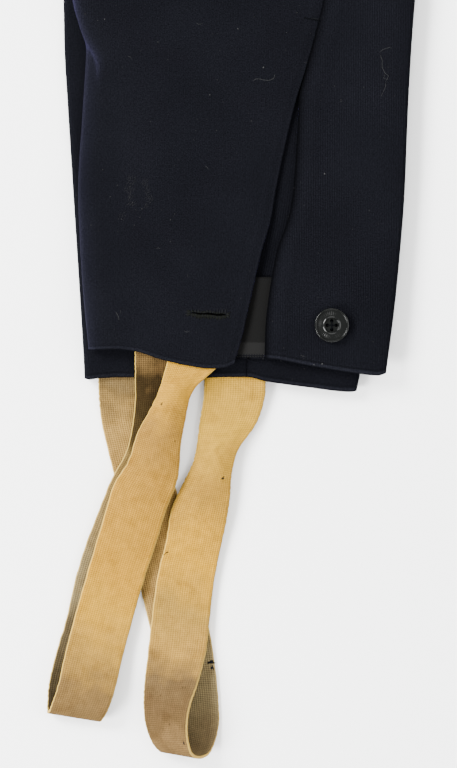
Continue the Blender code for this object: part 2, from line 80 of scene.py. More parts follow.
BUTTON_RADIUS = 0.0091
BUTTON_THICKNESS = 0.0030
HOLE_CIRCLE = 0.0023
HOLE_RADIUS = 0.0009
LEFT_BUTTON = (0.0495, 0.0209)
RIGHT_BUTTON = (0.0355, 0.0096)
BUTTON_LIFT = 0.0035
LIFT_FLAT = 0.0110
LIFT_REACH = 0.0600
LIFT_OUTSIDE = 0.80

# How far the hidden straps and the facing push the cloth over them up
RIGHT_STRAP_BULGE = 0.0014
LEFT_STRAP_BULGE = 0.0033
FACING_BULGE = 0.0022

# How the cloth falls away at its soft folded edges, at the vent's flaps and at a hem
FOLD_REACH = 0.0130
FOLD_DROP = 0.0015
FLAP_DROP = 0.0005
HEM_ROLL = 0.00055
HEM_LINE = 0.00018
HEM_TURNED = 0.0240

FACING_FRONT = -0.0060
FACING_BACK = 0.0500
FACING_TOP = 0.0453

# One pixel of the photograph, the pixel that lies at the middle of the left hem, and
# the point that the camera looks down on
PIXEL = 0.00053
ORIGIN = (238, 365)
VIEW = (457, 768)
VIEW_CENTRE = (-0.0050, -0.0101)
VIEW_LEVEL = 0.006
CAMERA_HEIGHT = 2.5

# The turn between one point and the next that spreads them evenly round
EVEN_TURN = 2.39996


def rows(kind, table):
    """Rows with named columns, from a table in thousandths."""
    return [kind(*(value / 1000 for value in row)) for row in table]


# Edges and seams of a leg laid flat, at one height
Station = namedtuple("Station", "height front back outseam inseam")

LEFT_ANKLE = rows(Station, [
    (0, -79, 78.5, 6, 5),
    (34, -81.9, 83.1, 11.5, 6),
    (60, -83.5, 85.8, 17, 6.6),
    (90, -84.6, 88.2, 24.6, 7.2),
    (140, -81.9, 90.3, 31.6, 8),
    (168, -80.4, 91.9, 39, 8.4),
    (178, -83.5, 92.6, 41.4, 8.5),
    (193, -87.5, 93.8, 45.3, 8.8),
])
RIGHT_ANKLE = rows(Station, [
    (0, -81.4, 63, 3, 4.8),
    (8, -81.8, 65, 4.2, 5),
    (34, -83.5, 68.4, 8.5, 5.8),
    (60, -85.3, 71.2, 14.5, 6.4),
    (90, -87.3, 74.8, 21, 7),
    (140, -90.5, 80, 30, 7.8),
    (168, -92.1, 82.8, 36, 8.2),
    (193, -92.6, 85.5, 41, 8.6),
])
UPPER_LEG = rows(Station, [
    (250, -92.5, 98.5, 48, 9.5),
    (300, -96.5, 103.5, 49.5, 10.5),
    (360, -100, 107.5, 49.5, 11.5),
    (430, -103, 109.5, 48, 12),
    (500, -113, 116, 44.5, 11.5),
    (580, -131, 134, 38, 10),
    (660, -149, 160, 30, 8),
    (730, -162, 188, 22.5, 5.5),
    (765, -169, 208, 19, 4),
    (810, -177, 235, 15, 2),
    (870, -185, 254, 11, 0),
    (930, -187, 249, 8, 0),
    (990, -184, 228, 6, 0),
    (1045, -179, 208, 5, 0),
    (1095, -176, 200, 4.5, 0),
])
RIGHT_FRONT_SHIFT = -0.0030
RIGHT_BACK_SHIFT = -0.0050

# Edges of the open vent in the left leg, at one height
Slit = namedtuple("Slit", "height front_flap back_flap")

VENT = rows(Slit, [
    (0, -2, 14), (16, 2.7, 14.5), (34, 6.7, 16.3), (60, 12.7, 20.8), (77, 17.5, 26.5),
    (92, 20, 29.3), (119, 25.6, 31.2), (141, 31, 32.3), (156, 35.7, 36), (183, 43, 43.3),
])

# How far the hem lies above the middle of the left hem, along X
Hem = namedtuple("Hem", "across rise")

LEFT_OUTER_HEM = rows(Hem, [
    (-79, 8), (-64, 8.6), (-54, 7.4), (-40, 3), (-27, 0), (-15, -1.7), (-8, -1.5), (-2, 0.8),
    (14, 3.8), (38, -0.2), (64, -4.4), (74, -5.4), (78.5, -4),
])
LEFT_INNER_HEM = rows(Hem, [
    (-79, 8.8), (-55, 10), (-30, 8), (0, 3.2), (14, 3), (40, 1.4), (78.5, -3),
])
RIGHT_INNER_HEM = rows(Hem, [
    (-80.6, -8), (-73.5, -6.9), (-62.5, -6.3), (-35, -6.8), (5, -6.2), (15, -8.5),
    (37.5, -11.7), (60, -14.1), (64.5, -12.5),
])
RIGHT_OUTER_TUCK = 0.0015

# The two edges of a strap at one place along it, and how far it arches up
Rung = namedtuple(
    "Rung", "left_x left_y left_z right_x right_y right_z arch", defaults=[0.0]
)

LEFT_STRAP = rows(Rung, [
    (-35, 16.5, 9.8, -6, 12.5, 9.8),
    (-37, 4, 9.9, -10, 0, 9.8, 0.4),
    (-41.5, -13.5, 10.5, -24, -13.5, 9, 3),
    (-47.5, -26, 10.5, -28.5, -31, 9.2, 3),
    (-53, -36, 10, -30.5, -43, 8.8, 2.6),
    (-58, -51, 9.2, -32, -60, 7.8, 2),
    (-66, -64, 8, -38, -76.5, 6.2, 1.4),
    (-72, -84, 6.8, -43, -93, 5.2, 0.8),
    (-78, -103.5, 6, -49, -111.5, 5.1),
    (-83.5, -123, 5.6, -54.5, -130, 5),
    (-90, -146.5, 6.6, -61, -154.5, 5.8),
    (-95, -168.5, 9.6, -65.5, -173.5, 8.6),
    (-98.5, -179.5, 10, -69.5, -184, 9.2),
    (-100.8, -184, 5.4, -73, -188.5, 5),
    (-101.2, -179, 1.4, -72.2, -183.5, 1.1),
    (-100.2, -168, 0.9, -70.5, -172.5, 0.9),
    (-96, -151, 0.9, -66.8, -158.5, 0.9),
    (-90.9, -134, 1.2, -61.9, -142.5, 1.2),
    (-86.8, -115.5, 2.4, -57.3, -122.5, 2.4),
    (-81.4, -97, 2.9, -52.6, -105.5, 3),
    (-74.5, -79, 3, -46, -88.5, 3),
    (-67.5, -61.5, 3.3, -40, -73.5, 2.8),
    (-58.8, -44.5, 4.6, -33.5, -52.5, 2.7, 0.8),
    (-54.8, -24, 5.6, -29, -28, 2.6, 2),
    (-54.5, -8, 6.6, -26.2, -9, 6, 0.8),
    (-54.5, 3, 7.1, -25, 2.5, 7),
    (-54.5, 12, 8, -24.5, 11.5, 8),
    (-54.5, 23, 8, -24.5, 22.5, 8),
])
RIGHT_STRAP = rows(Rung, [
    (-17.5, 13, 2.7, 15, 12, 2.7),
    (-17.8, -6, 2.7, 14.7, -7.2, 2.7),
    (-18.2, -17, 2.4, 14, -18.5, 3),
    (-20.2, -30, 2.2, 9.5, -31.5, 3.6, 1),
    (-21.8, -44, 2.4, 0, -45, 4.8, 2.8),
    (-24, -53, 2.6, -3.5, -58, 5.4, 3.2),
    (-30, -65, 2.9, -4.2, -69.5, 5, 2),
    (-35.2, -77, 2.9, -6.2, -83, 4.4, 1.4),
    (-38, -93, 2.9, -9.5, -98.5, 3.4),
    (-42.4, -111, 2.9, -12.8, -115.5, 3),
    (-45.3, -131, 2.9, -14.9, -134, 3),
    (-47.4, -150, 3.2, -17, -152, 4.4),
    (-49.3, -167, 3.8, -21.2, -168, 9.6),
    (-49.8, -179, 4.6, -25.4, -180, 14.5),
    (-48.8, -189.5, 5.4, -27, -190.5, 17.6),
    (-45.6, -199, 5.6, -26.4, -198.5, 18.4),
    (-41.6, -204, 4.8, -24.4, -205.2, 16.8),
    (-38.6, -204.7, 3.3, -20.5, -207.6, 12),
    (-37, -202, 1.8, -15.5, -206, 6.8),
    (-37.1, -195, 1.1, -12.4, -200.5, 3.4),
    (-38.4, -187, 0.9, -10.4, -193, 1.4),
    (-39.7, -179, 0.9, -10, -185, 0.9),
    (-41.4, -167, 0.9, -11.4, -166, 0.9),
    (-45, -148, 0.9, -14.8, -142.5, 0.9),
    (-50.5, -123.5, 0.9, -21, -116.5, 0.9),
    (-56.3, -99, 0.9, -26.7, -92, 0.9),
    (-62.1, -74, 0.9, -32.5, -67.5, 0.9),
    (-67.9, -49.5, 0.9, -38.2, -43.5, 0.9),
    (-72.2, -31.5, 0.9, -42.4, -28.5, 0.9),
    (-73.9, -16.5, 1.3, -43.6, -15.5, 1.3),
    (-74.2, -6, 2.4, -44, -5.5, 2.4),
    (-74.2, 9, 2.7, -44, 9, 2.7),
])
# Where each strap starts to lie against the cloth, and over what length
LEFT_SETTLE = (-0.014, 0.012)
RIGHT_SETTLE = (-0.030, 0.018)
STRAP_WIDTH = 0.0300
STRAP_CUTS = 8
STRAP_LANES = 20

# A soft ridge, or a trough where it is lower, from one point to another
Crease = namedtuple("Crease", "start_x start_y end_x end_y reach height")

# Soft creases of the upper leg, above the picture
TOP_CREASES = rows(Crease, [
    (-100, 470, -30, 452, 11, 0.9),
    (112, 476, 34, 462, 10, 1),
    (116, 520, 46, 494, 12, -0.6),
    (-106, 512, -52, 500, 13, -0.5),
    (196, 772, 90, 800, 16, 1.2),
    (210, 800, 120, 842, 14, -0.6),
    (-160, 772, -70, 820, 15, 1),
    (-168, 812, -100, 860, 13, -0.5),
    (60, 700, 52, 590, 16, 0.6),
    (-60, 690, -58, 560, 18, 0.5),
    (80, 330, 20, 300, 12, 0.6),
    (-70, 300, -20, 318, 13, 0.5),
])
# Softer ones on the ankle, which lies almost flat
ANKLE_CREASES = rows(Crease, [
    (-56, 150, -30, 60, 12, 0.3),
    (62, 182, 58, 90, 10, 0.3),
    (40, 128, 82, 124, 6, 0.22),
    (-10, 170, -18, 100, 14, -0.25),
    (26, 62, 70, 50, 10, -0.2),
])
# The puffed fold at the upper front, whose lower edge turns in as a crease
PUFF_FOLD = [(-0.0875, 0.2000), (-0.0853, 0.1818), (-0.0837, 0.1765), (-0.0811, 0.1717),
             (-0.0798, 0.1691), (-0.0776, 0.1664), (-0.0753, 0.1627), (-0.0742, 0.1590),
             (-0.0742, 0.1537), (-0.0750, 0.1440)]


def ease(share):
    share = np.clip(share, 0.0, 1.0)
    return share * share * (3 - 2 * share)


def mix(low, high, share):
    return low + (high - low) * share


class Curve:
    """A smooth curve through (x, y) pairs that never overshoots them."""

    def __init__(self, pairs):
        x, y = np.array(pairs, float).T
        step = np.diff(y) / np.diff(x)
        slope = np.zeros(len(x))
        slope[0], slope[-1] = step[0], step[-1]
        for i in range(1, len(x) - 1):
            a, b = step[i - 1], step[i]
            slope[i] = 2 * a * b / (a + b) if a * b > 0 else 0.0
        self.x = np.linspace(x[0], x[-1], 3000)
        i = np.clip(np.searchsorted(x, self.x, "right") - 1, 0, len(x) - 2)
        wide, rise = x[i + 1] - x[i], y[i + 1] - y[i]
        t = (self.x - x[i]) / wide
        bend = (wide * slope[i] - rise) * (1 - t) + (rise - wide * slope[i + 1]) * t
        self.y = y[i] + rise * t + t * (1 - t) * bend

    def __call__(self, x):
        return np.interp(x, self.x, self.y)


class Leg:
    """One half of the garment: its edges, seams and hems laid flat."""

    def __init__(self, stations, outer_hem, inner_hem, vent=None):
        def column(name):
            return Curve([(s.height, getattr(s, name)) for s in stations])

        self.columns = {n: column(n) for n in ("front", "back", "outseam", "inseam")}
        self.outer_hem = Curve(outer_hem)
        self.inner_hem = Curve(inner_hem)
        self.vent = vent and {
            "front": Curve([(s.height, s.front_flap) for s in vent]),
            "back": Curve([(s.height, s.back_flap) for s in vent]),
        }

    def at(self, name, height):
        return self.columns[name](height)

    def seam(self, panel, height):
        if self.vent and height < VENT_TOP:
            return self.vent[panel](height)
        half = -SEAM / 2 if panel == "front" else SEAM / 2
        return self.at("outseam", height) + half

    def inner_end(self, panel, height):
        half = -SEAM / 2 if panel == "front" else SEAM / 2
        inseam = self.at("inseam", height) + half
        rise = FRONT_RISE if panel == "front" else BACK_RISE
        share = np.clip((height - CROTCH) / rise, 0.0, 1.0)
        inward = ALLOWANCE if panel == "front" else -ALLOWANCE
        return mix(inseam, self.at(panel, height) + inward, 1 - (1 - share) ** 2)

    def hem_rise(self, x, height, outer):
        fade = 1 - np.clip(height / HEM_REACH, 0.0, 1.0)
        hem = self.outer_hem if outer else self.inner_hem
        return hem(x) * fade * fade

    def puff(self, x, height):
        inward = np.minimum(x - self.at("front", height), self.at("back", height) - x)
        return 1 - ease(inward / PUFF_REACH)

    def open_pelvis(self, x, height):
        inward = np.minimum(
            x - self.inner_end("front", height), self.inner_end("back", height) - x
        )
        return np.where(height > CROTCH, ease((inward - 0.020) / 0.060), 0.0)


def shifted(stations, front, back):
    return [s._replace(front=s.front + front, back=s.back + back) for s in stations]


def raised(hem, rise):
    return [h._replace(rise=h.rise + rise) for h in hem]


LEFT = Leg(LEFT_ANKLE + UPPER_LEG, LEFT_OUTER_HEM, LEFT_INNER_HEM, VENT)
RIGHT = Leg(
    RIGHT_ANKLE + shifted(UPPER_LEG, RIGHT_FRONT_SHIFT, RIGHT_BACK_SHIFT),
    raised(RIGHT_INNER_HEM, RIGHT_OUTER_TUCK),
    RIGHT_INNER_HEM,
)


def patch(x, y, low_x, high_x, high_y, fade):
    past = np.maximum(np.maximum(low_x - x, x - high_x), np.maximum(y - high_y, 0.0))
    return 1 - ease(past / fade)


def button_bump(x, y):
    away = np.hypot(x - RIGHT_BUTTON[0], y - RIGHT_BUTTON[1])
    return 1 - ease((away - LIFT_FLAT) / (LIFT_REACH - LIFT_FLAT))


def right_outer(x, y, wall=CLOTH):
    return wall / 2 + BUTTON_LIFT * button_bump(x, y)


def right_inner(x, y, wall=CLOTH):
    straps = RIGHT_STRAP_BULGE * patch(x, y, -0.085, 0.030, 0.018, 0.045)
    return right_outer(x, y, wall) + wall + HOLLOW + PUFF * RIGHT.puff(x, y) + straps


def left_inner(x, y, wall=CLOTH):
    return right_inner(x, y, wall) + wall + LEG_GAP


def left_outer(x, y, wall=CLOTH):
    straps = LEFT_STRAP_BULGE * patch(x, y, -0.060, -0.003, 0.026, 0.045)
    facing = FACING_BULGE * patch(x, y, -0.014, 0.058, 0.050, 0.035)
    air = HOLLOW + PUFF * LEFT.puff(x, y) + np.maximum(straps, facing)
    drop = (1 - LIFT_OUTSIDE) * BUTTON_LIFT * button_bump(x, y)
    stacked = left_inner(x, y, wall) + wall + air - drop
    fallen = wall / 2 + wall + PELVIS_GAP
    return mix(stacked, fallen, LEFT.open_pelvis(x, y))


def waves(x, y, seed, size):
    """Slow uneven swells between about -1 and 1."""
    total = 0.0
    for k in range(5):
        turn = seed * 1.7 + k * EVEN_TURN
        length = size * (1.0 + 0.37 * k)
        along = x * cos(turn) + y * sin(turn)
        total = total + np.sin(along * 2 * pi / length + seed * 5.1 + k * 1.3)
    return total / 3.2


def from_segment(x, y, start, end):
    """Distance from a segment, how far along it, and which side."""
    (ax, ay), (bx, by) = start, end
    dx, dy = bx - ax, by - ay
    t = ((x - ax) * dx + (y - ay) * dy) / (dx * dx + dy * dy)
    clipped = np.clip(t, 0, 1)
    away = np.hypot(x - ax - clipped * dx, y - ay - clipped * dy)
    side = np.sign((x - ax) * dy - (y - ay) * dx)
    return away, t, side


def creases(x, y, table):
    total = 0.0 * x
    for c in table:
        away, t, _ = from_segment(x, y, (c.start_x, c.start_y), (c.end_x, c.end_y))
        ends = ease(np.minimum(t, 1 - t) / 0.3 + 0.25)
        total = total + c.height * np.exp(-((away / c.reach) ** 2)) * ends
    return total


def from_puff_fold(x, y):
    """Distance from the edge of the puffed fold, with its sign, and how far it shows."""
    nearest = np.full(np.shape(x), 9.0)
    signed = np.zeros(np.shape(x))
    for a, b in zip(PUFF_FOLD, PUFF_FOLD[1:]):
        away, _, side = from_segment(x, y, a, b)
        closer = away < nearest
        nearest = np.where(closer, away, nearest)
        signed = np.where(closer, -away * side, signed)
    return signed, ease((y - 0.146) / 0.018) * (1 - 0.75 * ease((y - 0.205) / 0.060))


def puff_fold(x, y):
    """The puffed fold stands up on the seam side of its lower edge."""
    signed, fade = from_puff_fold(x, y)
    step = ease(0.5 + signed / 0.0026)
    return 0.0024 * step * ease((0.040 - np.abs(signed)) / 0.034) * fade


def left_top(x, y, height, panel):
    """Middle of the left leg's top wall, with everything that shapes it."""
    z = left_outer(x, y)
    z = z + 0.00022 * waves(x, y, 3, 0.060) + creases(x, y, TOP_CREASES + ANKLE_CREASES)
    z = z + puff_fold(x, y) - rounding(LEFT, x, height)
    open_share = 1 - ease((height - 0.150) / 0.045)
    if panel == "front":
        inward = LEFT.seam("front", height) - x
        z = z - FLAP_DROP * open_share * (1 - ease(inward / 0.016))
        z = z + 0.00022 * np.exp(-(((inward - 0.0045) / 0.0016) ** 2))
    else:
        inward = x - LEFT.seam("back", height)
        z = z - FLAP_DROP * open_share * (1 - ease(inward / 0.010))
        z = z + 0.00020 * np.exp(-(((inward - 0.0090) / 0.0025) ** 2))
    z = z - 0.0006 * (1 - open_share) * np.exp(-((inward / 0.0012) ** 2))
    return z - hem_shape(height)


def rounding(leg, x, height):
    """How far the cloth falls away towards its soft folded edges."""
    inward = np.minimum(x - leg.at("front", height), leg.at("back", height) - x)
    share = np.clip(1 - inward / FOLD_REACH, 0, 1)
    return FOLD_DROP * (1 - np.sqrt(1 - (0.985 * share) ** 2))


def hem_shape(height):
    """How far a hem dips: a rolled edge, then the line its stitches pull down."""
    roll = HEM_ROLL * np.exp(-height / 0.0008)
    line = HEM_LINE * np.exp(-(((height - 0.0024) / 0.0006) ** 2))
    turned = 0.00012 * ease((height - HEM_TURNED) / 0.004)
    return roll + line + turned


def spread(count, ends=0.6):
    """Shares from 0 to 1, closer together at both ends."""
    even = np.linspace(0, 1, count)
    return mix(even, (1 - np.cos(pi * even)) / 2, ends)


class Grid:
    """Rows of points with their places on the flat cloth.

    The panels also carry their distances from the folded edge and the nearest seam,
    and from the puffed fold with how far it shows, which place the painted sheen and shade.
    """

    def __init__(self):
        self.points = []
        self.layers = {"flat": [], "edge": [], "fold": []}

    def add(self, x, y, z, u, v, edge=(1.0, 1.0), fold=(1.0, 0.0)):
        self.points.append(np.stack([x, y, z], 1))
        for name, pair in (("flat", (u, v)), ("edge", edge), ("fold", fold)):
            pair = [np.broadcast_to(part, len(x)) for part in pair]
            self.layers[name].append(np.stack(pair, 1))

    def widest(self):
        return max(float(lengths(row).sum()) for row in self.points)

    def area(self):
        grid = np.array(self.points)
        a, b = grid[1:, 1:] - grid[:-1, :-1], grid[1:, :-1] - grid[:-1, 1:]
        return float(np.linalg.norm(np.cross(a, b), axis=2).sum() / 2)

    def longest(self):
        grid = np.array(self.points)
        steps = np.linalg.norm(np.diff(grid, axis=0), axis=2)
        return float(steps.sum(0).max())


def lengths(row):
    return np.linalg.norm(np.diff(row, axis=0), axis=1)


TURN_STEPS = 8


def turn(leg, panel, height, wall, outer, inner):
    """Points round a soft folded edge, from the outer wall to the inner one."""
    way = 1 if panel == "front" else -1
    edge = leg.at(panel, height) + way * wall / 2
    guess = edge + way * (CLOTH + HOLLOW + PUFF) / 2
    y = height + leg.hem_rise(guess, height, True)
    top, bottom = float(outer(guess, y)), float(inner(guess, y))
    radius, middle = (top - bottom) / 2, (top + bottom) / 2
    centre = edge + way * abs(radius)
    share = np.linspace(0, 1, TURN_STEPS + 1)
    angle = pi * share
    x = centre - way * abs(radius) * np.sin(angle)
    rise = mix(
        leg.hem_rise(centre, height, True), leg.hem_rise(centre, height, False), share
    )
    return x, height + rise, middle + radius * np.cos(angle), abs(radius) * angle


def panel_grid(leg, panel, heights, outer, inner, outer_count, inner_count):
    """Front or back panel: side seam, folded edge, inseam."""
    grid = Grid()
    for height in heights:
        bx, by, bz, arc = turn(
            leg, panel, height, CLOTH,
            lambda x, y, h=height: outer(np.asarray(x), y, h, panel),
            lambda x, y, h=height: inner(np.asarray(x), y, h),
        )
        ox = mix(leg.seam(panel, height), bx[0], spread(outer_count))[:-1]
        oy = height + leg.hem_rise(ox, height, True)
        oz = outer(ox, oy, height, panel)
        ix = mix(bx[-1], leg.inner_end(panel, height), spread(inner_count))[1:]
        iy = height + leg.hem_rise(ix, height, False)
        iz = inner(ix, iy, height)
        way = -1 if panel == "front" else 1
        bu = bx[0] + way * arc
        iu = bu[-1] + way * np.abs(ix - bx[-1])
        u = np.concatenate([ox, bu, iu])
        seam = np.concatenate([
            np.abs(ox - leg.seam(panel, height)), np.ones(len(bx)),
            np.abs(ix - leg.inner_end(panel, height)),
        ])
        signed, shown = from_puff_fold(np.concatenate([ox, bx]), np.concatenate([oy, by]))
        signed = np.concatenate([signed, np.ones(len(ix))])
        shown = np.concatenate([shown, np.zeros(len(ix))])
        shown[len(ox) + TURN_STEPS // 2 + 1 :] = 0
        x, y, z = map(np.concatenate, ((ox, bx, ix), (oy, by, iy), (oz, bz, iz)))
        edge = (way * (bu[TURN_STEPS // 2] - u), seam)
        grid.add(x, y, z, u, np.full(len(u), height), edge, (signed, shown))
    return grid


def place_of_frame():
    """From the laid-out measurements to the row frame, found from the left button."""
    low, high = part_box("left_button")
    middle = [(a + b) / 2 for a, b in zip(low, high)]
    return Vector((middle[0] - LEFT_BUTTON[0], middle[1] - LEFT_BUTTON[1], 0))


SHIFT = place_of_frame()


def link(obj):
    bpy.context.scene.collection.objects.link(obj)


def mesh_object(name, points, faces, layers=None, materials=()):
    mesh = bpy.data.meshes.new(name)
    mesh.from_pydata(np.asarray(points).tolist(), [], faces)
    for key, pairs in (layers or {}).items():
        layer = mesh.uv_layers.new(name=key)
        corner = np.empty(len(mesh.loops), int)
        mesh.loops.foreach_get("vertex_index", corner)
        layer.data.foreach_set("uv", np.concatenate(pairs)[corner].ravel())
    for material in materials:
        mesh.materials.append(material)
    mesh.shade_smooth()
    obj = bpy.data.objects.new(name, mesh)
    obj.location = SHIFT
    link(obj)
    return obj


def shell(name, grid, thickness, materials):
    """A cloth wall of even thickness along a grid."""
    points = np.concatenate(grid.points)
    wide, deep = len(grid.points[0]), len(grid.points)
    index = np.arange(wide * deep).reshape(deep, wide)
    a, b = index[:-1, :-1].ravel(), index[:-1, 1:].ravel()
    c, d = index[1:, 1:].ravel(), index[1:, :-1].ravel()
    faces = np.stack([a, b, c, d], 1).tolist()
    obj = mesh_object(name, points, faces, grid.layers, materials)
    wall = obj.modifiers.new("wall", "SOLIDIFY")
    wall.thickness = thickness
    wall.offset = 0
    wall.use_even_offset = True
    if len(materials) > 1:
        wall.material_offset = 1
        wall.material_offset_rim = 2
    return obj


def declare(obj, node, grid):
    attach(obj, "root")
    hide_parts(node)
    width, length = grid.widest() * 1.001, grid.longest() * 1.001
    min(grid.area(), width * length)


# Materials


class Graph:
    """A material's node graph, with short ways to add and join nodes."""

    def __init__(self, name):
        self.material = bpy.data.materials.new(name)
        self.material.use_nodes = True
        self.tree = self.material.node_tree
        self.shader = self.tree.nodes["Principled BSDF"]

    def add(self, kind, inputs=None, **settings):
        node = self.tree.nodes.new("ShaderNode" + kind)
        for key, value in settings.items():
            setattr(node, key, value)
        for key, value in (inputs or {}).items():
            self.feed(node.inputs[key], value)
        return node

    def feed(self, socket, value):
        if isinstance(value, bpy.types.NodeSocket):
            self.tree.links.new(value, socket)
        elif isinstance(value, bpy.types.Node):
            self.tree.links.new(value.outputs[0], socket)
        else:
            socket.default_value = value

    def layer(self, name="flat"):
        return self.add("UVMap", uv_map=name).outputs[0]

    def parts(self, vector):
        return self.add("SeparateXYZ", {"Vector": vector}).outputs[:2]

    def times(self, colour, shade, share=1.0):
        return self.blend(share, colour, shade, "MULTIPLY")

    def math(self, operation, *values):
        node = self.add("Math", operation=operation)
        for socket, value in zip(node.inputs, values):
            self.feed(socket, value)
        return node.outputs[0]

    def noise(self, vector, scale, detail=2.0, roughness=0.5):
        node = self.add(
            "TexNoise",
            {"Vector": vector, "Scale": scale, "Detail": detail, "Roughness": roughness},
        )
        return node.outputs["Fac"]

    def bands(self, vector, pitch, axis="X"):
        node = self.add(
            "TexWave",
            {"Vector": vector, "Scale": 2 * pi / (20 * pitch), "Distortion": 0.0},
            bands_direction=axis,
        )
        return node.outputs["Fac"]

    def blend(self, share, low, high, kind="MIX"):
        node = self.add("Mix", data_type="RGBA", blend_type=kind)
        self.feed(node.inputs[0], share)
        self.feed(node.inputs[6], low)
        self.feed(node.inputs[7], high)
        return node.outputs[2]

    def ramp(self, value, stops, scale=1.0, shift=0.0):
        """A colour or shade by a value, scaled and shifted into the stops' range."""
        if (scale, shift) != (1.0, 0.0):
            value = self.math("MULTIPLY_ADD", value, scale, shift)
        node = self.add("ValToRGB", {"Fac": value})
        ramp = node.color_ramp
        while len(ramp.elements) < len(stops):
            ramp.elements.new(0.5)
        for element, (place, colour) in zip(ramp.elements, stops):
            element.position = place
            grey = isinstance(colour, (int, float))
            element.color = (colour, colour, colour, 1) if grey else (*colour, 1)
        return node.outputs["Color"]

    def bump(self, height, strength, distance):
        node = self.add(
            "Bump",
            {"Height": height, "Strength": strength, "Distance": distance},
        )
        self.feed(self.shader.inputs["Normal"], node.outputs[0])

    def finish(self, colour, roughness, **values):
        self.feed(self.shader.inputs["Base Color"], colour)
        self.feed(self.shader.inputs["Roughness"], roughness)
        for key, value in values.items():
            self.feed(self.shader.inputs[key.replace("_", " ")], value)
        return self.material


# Painted sheen on the napped cloth by distance from a folded edge, in centimetres
FOLD_PAINTED_SHEEN = [
    (0.00, (1.60, 1.52, 1.84)), (0.12, (1.70, 1.60, 1.96)), (0.20, (1.40, 1.36, 1.58)),
    (0.31, (1.26, 1.24, 1.38)), (0.52, (1.12, 1.11, 1.18)), (0.74, (1.05, 1.05, 1.08)),
    (0.98, 1.0),
]
# Painted sheen by distance from the edge of the puffed fold, which is at 0.5
PUFF_PAINTED_SHEEN = [
    (0.22, 1.0), (0.40, (1.12, 1.10, 1.22)), (0.47, (1.70, 1.58, 2.05)),
    (0.54, (1.62, 1.50, 1.95)), (0.64, (1.20, 1.16, 1.32)), (0.90, 1.0),
]
# By distance from a seam or a vent's edge, in centimetres: a painted highlight on the front
# flap's lip, painted shade beside the back panel's seam and flap edge, a darker seam line
SEAM_LIP_PAINTED_HIGHLIGHT = [(0.00, 1.18), (0.07, 1.14), (0.16, 1.0)]
SEAM_PAINTED_SHADE = [
    (0.00, 0.16), (0.05, 0.26), (0.12, 0.52), (0.22, 0.76), (0.34, 0.90), (0.46, 1.0),
]
SEAM_LINE = [(0.00, 0.72), (0.04, 0.84), (0.09, 1.0)]


def wool(name, rib, light, hem, sheen, seam, inside):
    """Near-black navy wool: fine ribs, soft nap, lint specks, painted sheen and shade."""
    g = Graph(name)
    flat = g.layer()
    from_fold, from_seam = g.parts(g.layer("edge"))
    from_puff, puff_shown = g.parts(g.layer("fold"))
    near_fold = g.math("ABSOLUTE", from_fold)
    up = g.parts(flat)[1]
    nap = g.noise(flat, 1400.0, 3.0, 0.75)
    tuft = g.noise(flat, 480.0, 3.0, 0.65)
    broad = g.noise(flat, 22.0, 3.0)
    ribs = g.bands(flat, 0.00125, "X")
    cross = g.bands(flat, 0.00105, "Y")
    low = tuple(light * c for c in (0.00035, 0.00040, 0.00075))
    high = tuple(light * c for c in (0.0050, 0.0052, 0.0071))
    fibre = g.ramp(nap, [(0.24, 0.0), (0.80, 1.0)])
    colour = g.blend(fibre, (*low, 1), (*high, 1))
    worn = g.ramp(g.noise(flat, 34.0, 2.0), [(0.38, 0.35), (0.62, 1.5)])
    stripe = g.math("MULTIPLY", g.math("SUBTRACT", ribs, 0.5), rib)
    stripe = g.math("ADD", g.math("MULTIPLY", stripe, worn), 1.0)
    colour = g.times(colour, stripe)
    colour = g.times(colour, g.ramp(tuft, [(0.30, 0.90), (0.70, 1.10)]))
    colour = g.times(colour, g.ramp(broad, [(0.3, 0.86), (0.7, 1.12)]))
    # Painted light at the hem: a painted highlight on its rolled edge, then painted shade in the
    # groove its stitches pull down
    rolled = [
        (0.02, 1.0 - 0.2 * hem), (0.06, 1.0 + 1.7 * hem), (0.14, 1.0 + 1.3 * hem),
        (0.19, 1.0 - 0.4 * hem), (0.24, 1.0 - 0.5 * hem), (0.30, 1.0),
    ]
    for value, stops, scale, shift, share in (
        # the hem's painted highlight and groove shade, by height above the hem
        (up, rolled, 100.0, 0.0, 1.0),
        # painted sheen in a bright line along the folded edges
        (near_fold, FOLD_PAINTED_SHEEN, 100.0, 0.0, sheen),
        # a broader painted sheen fading inwards from the folded edges
        (near_fold, [(0.1, 1.14), (0.9, 1.0)], 20.0, 0.0, min(1.0, 4 * sheen)),
        # painted shade on the inner wall, away from the folded edge, where it shows through the
        # vent
        (from_fold, [(0.2, 1.0), (0.5, inside)], -50.0, 0.0, 1.0),
        # painted highlight along the lower edge of the puffed fold
        (from_puff, PUFF_PAINTED_SHEEN, 100.0, 0.5, puff_shown),
        # by the cloth's seam table: painted lip highlight, painted shade beside the seam, dark
        # seam line
        (from_seam, seam, 100.0, 0.0, 1.0),
    ):
        colour = g.times(colour, g.ramp(value, stops, scale, shift), share)
    for scale, reach, rare, share, pale in (
        (120.0, 0.045, 0.60, 0.5, 0.013),
        (330.0, 0.11, 0.78, 0.3, 0.011),
    ):
        cells = g.add(
            "TexVoronoi", {"Vector": flat, "Scale": scale, "Randomness": 1.0}
        )
        speck = g.math("LESS_THAN", cells.outputs["Distance"], reach)
        chosen = g.math("GREATER_THAN", cells.outputs["Color"], rare)
        lint = g.math("MULTIPLY", g.math("MULTIPLY", speck, chosen), share)
        colour = g.blend(lint, colour, (pale, pale, pale, 1))
    height = g.math("ADD", g.math("MULTIPLY", ribs, 0.3 + rib), g.math("MULTIPLY", nap, 0.6))
    height = g.math("ADD", height, g.math("MULTIPLY", cross, 0.2))
    g.bump(g.math("ADD", height, g.math("MULTIPLY", tuft, 0.5)), 0.30, 0.00016)
    return g.finish(
        colour, 0.92, Specular_IOR_Level=0.012, Sheen_Weight=0.06,
        Sheen_Roughness=0.22, Sheen_Tint=(0.36, 0.34, 1.0, 1),
    )


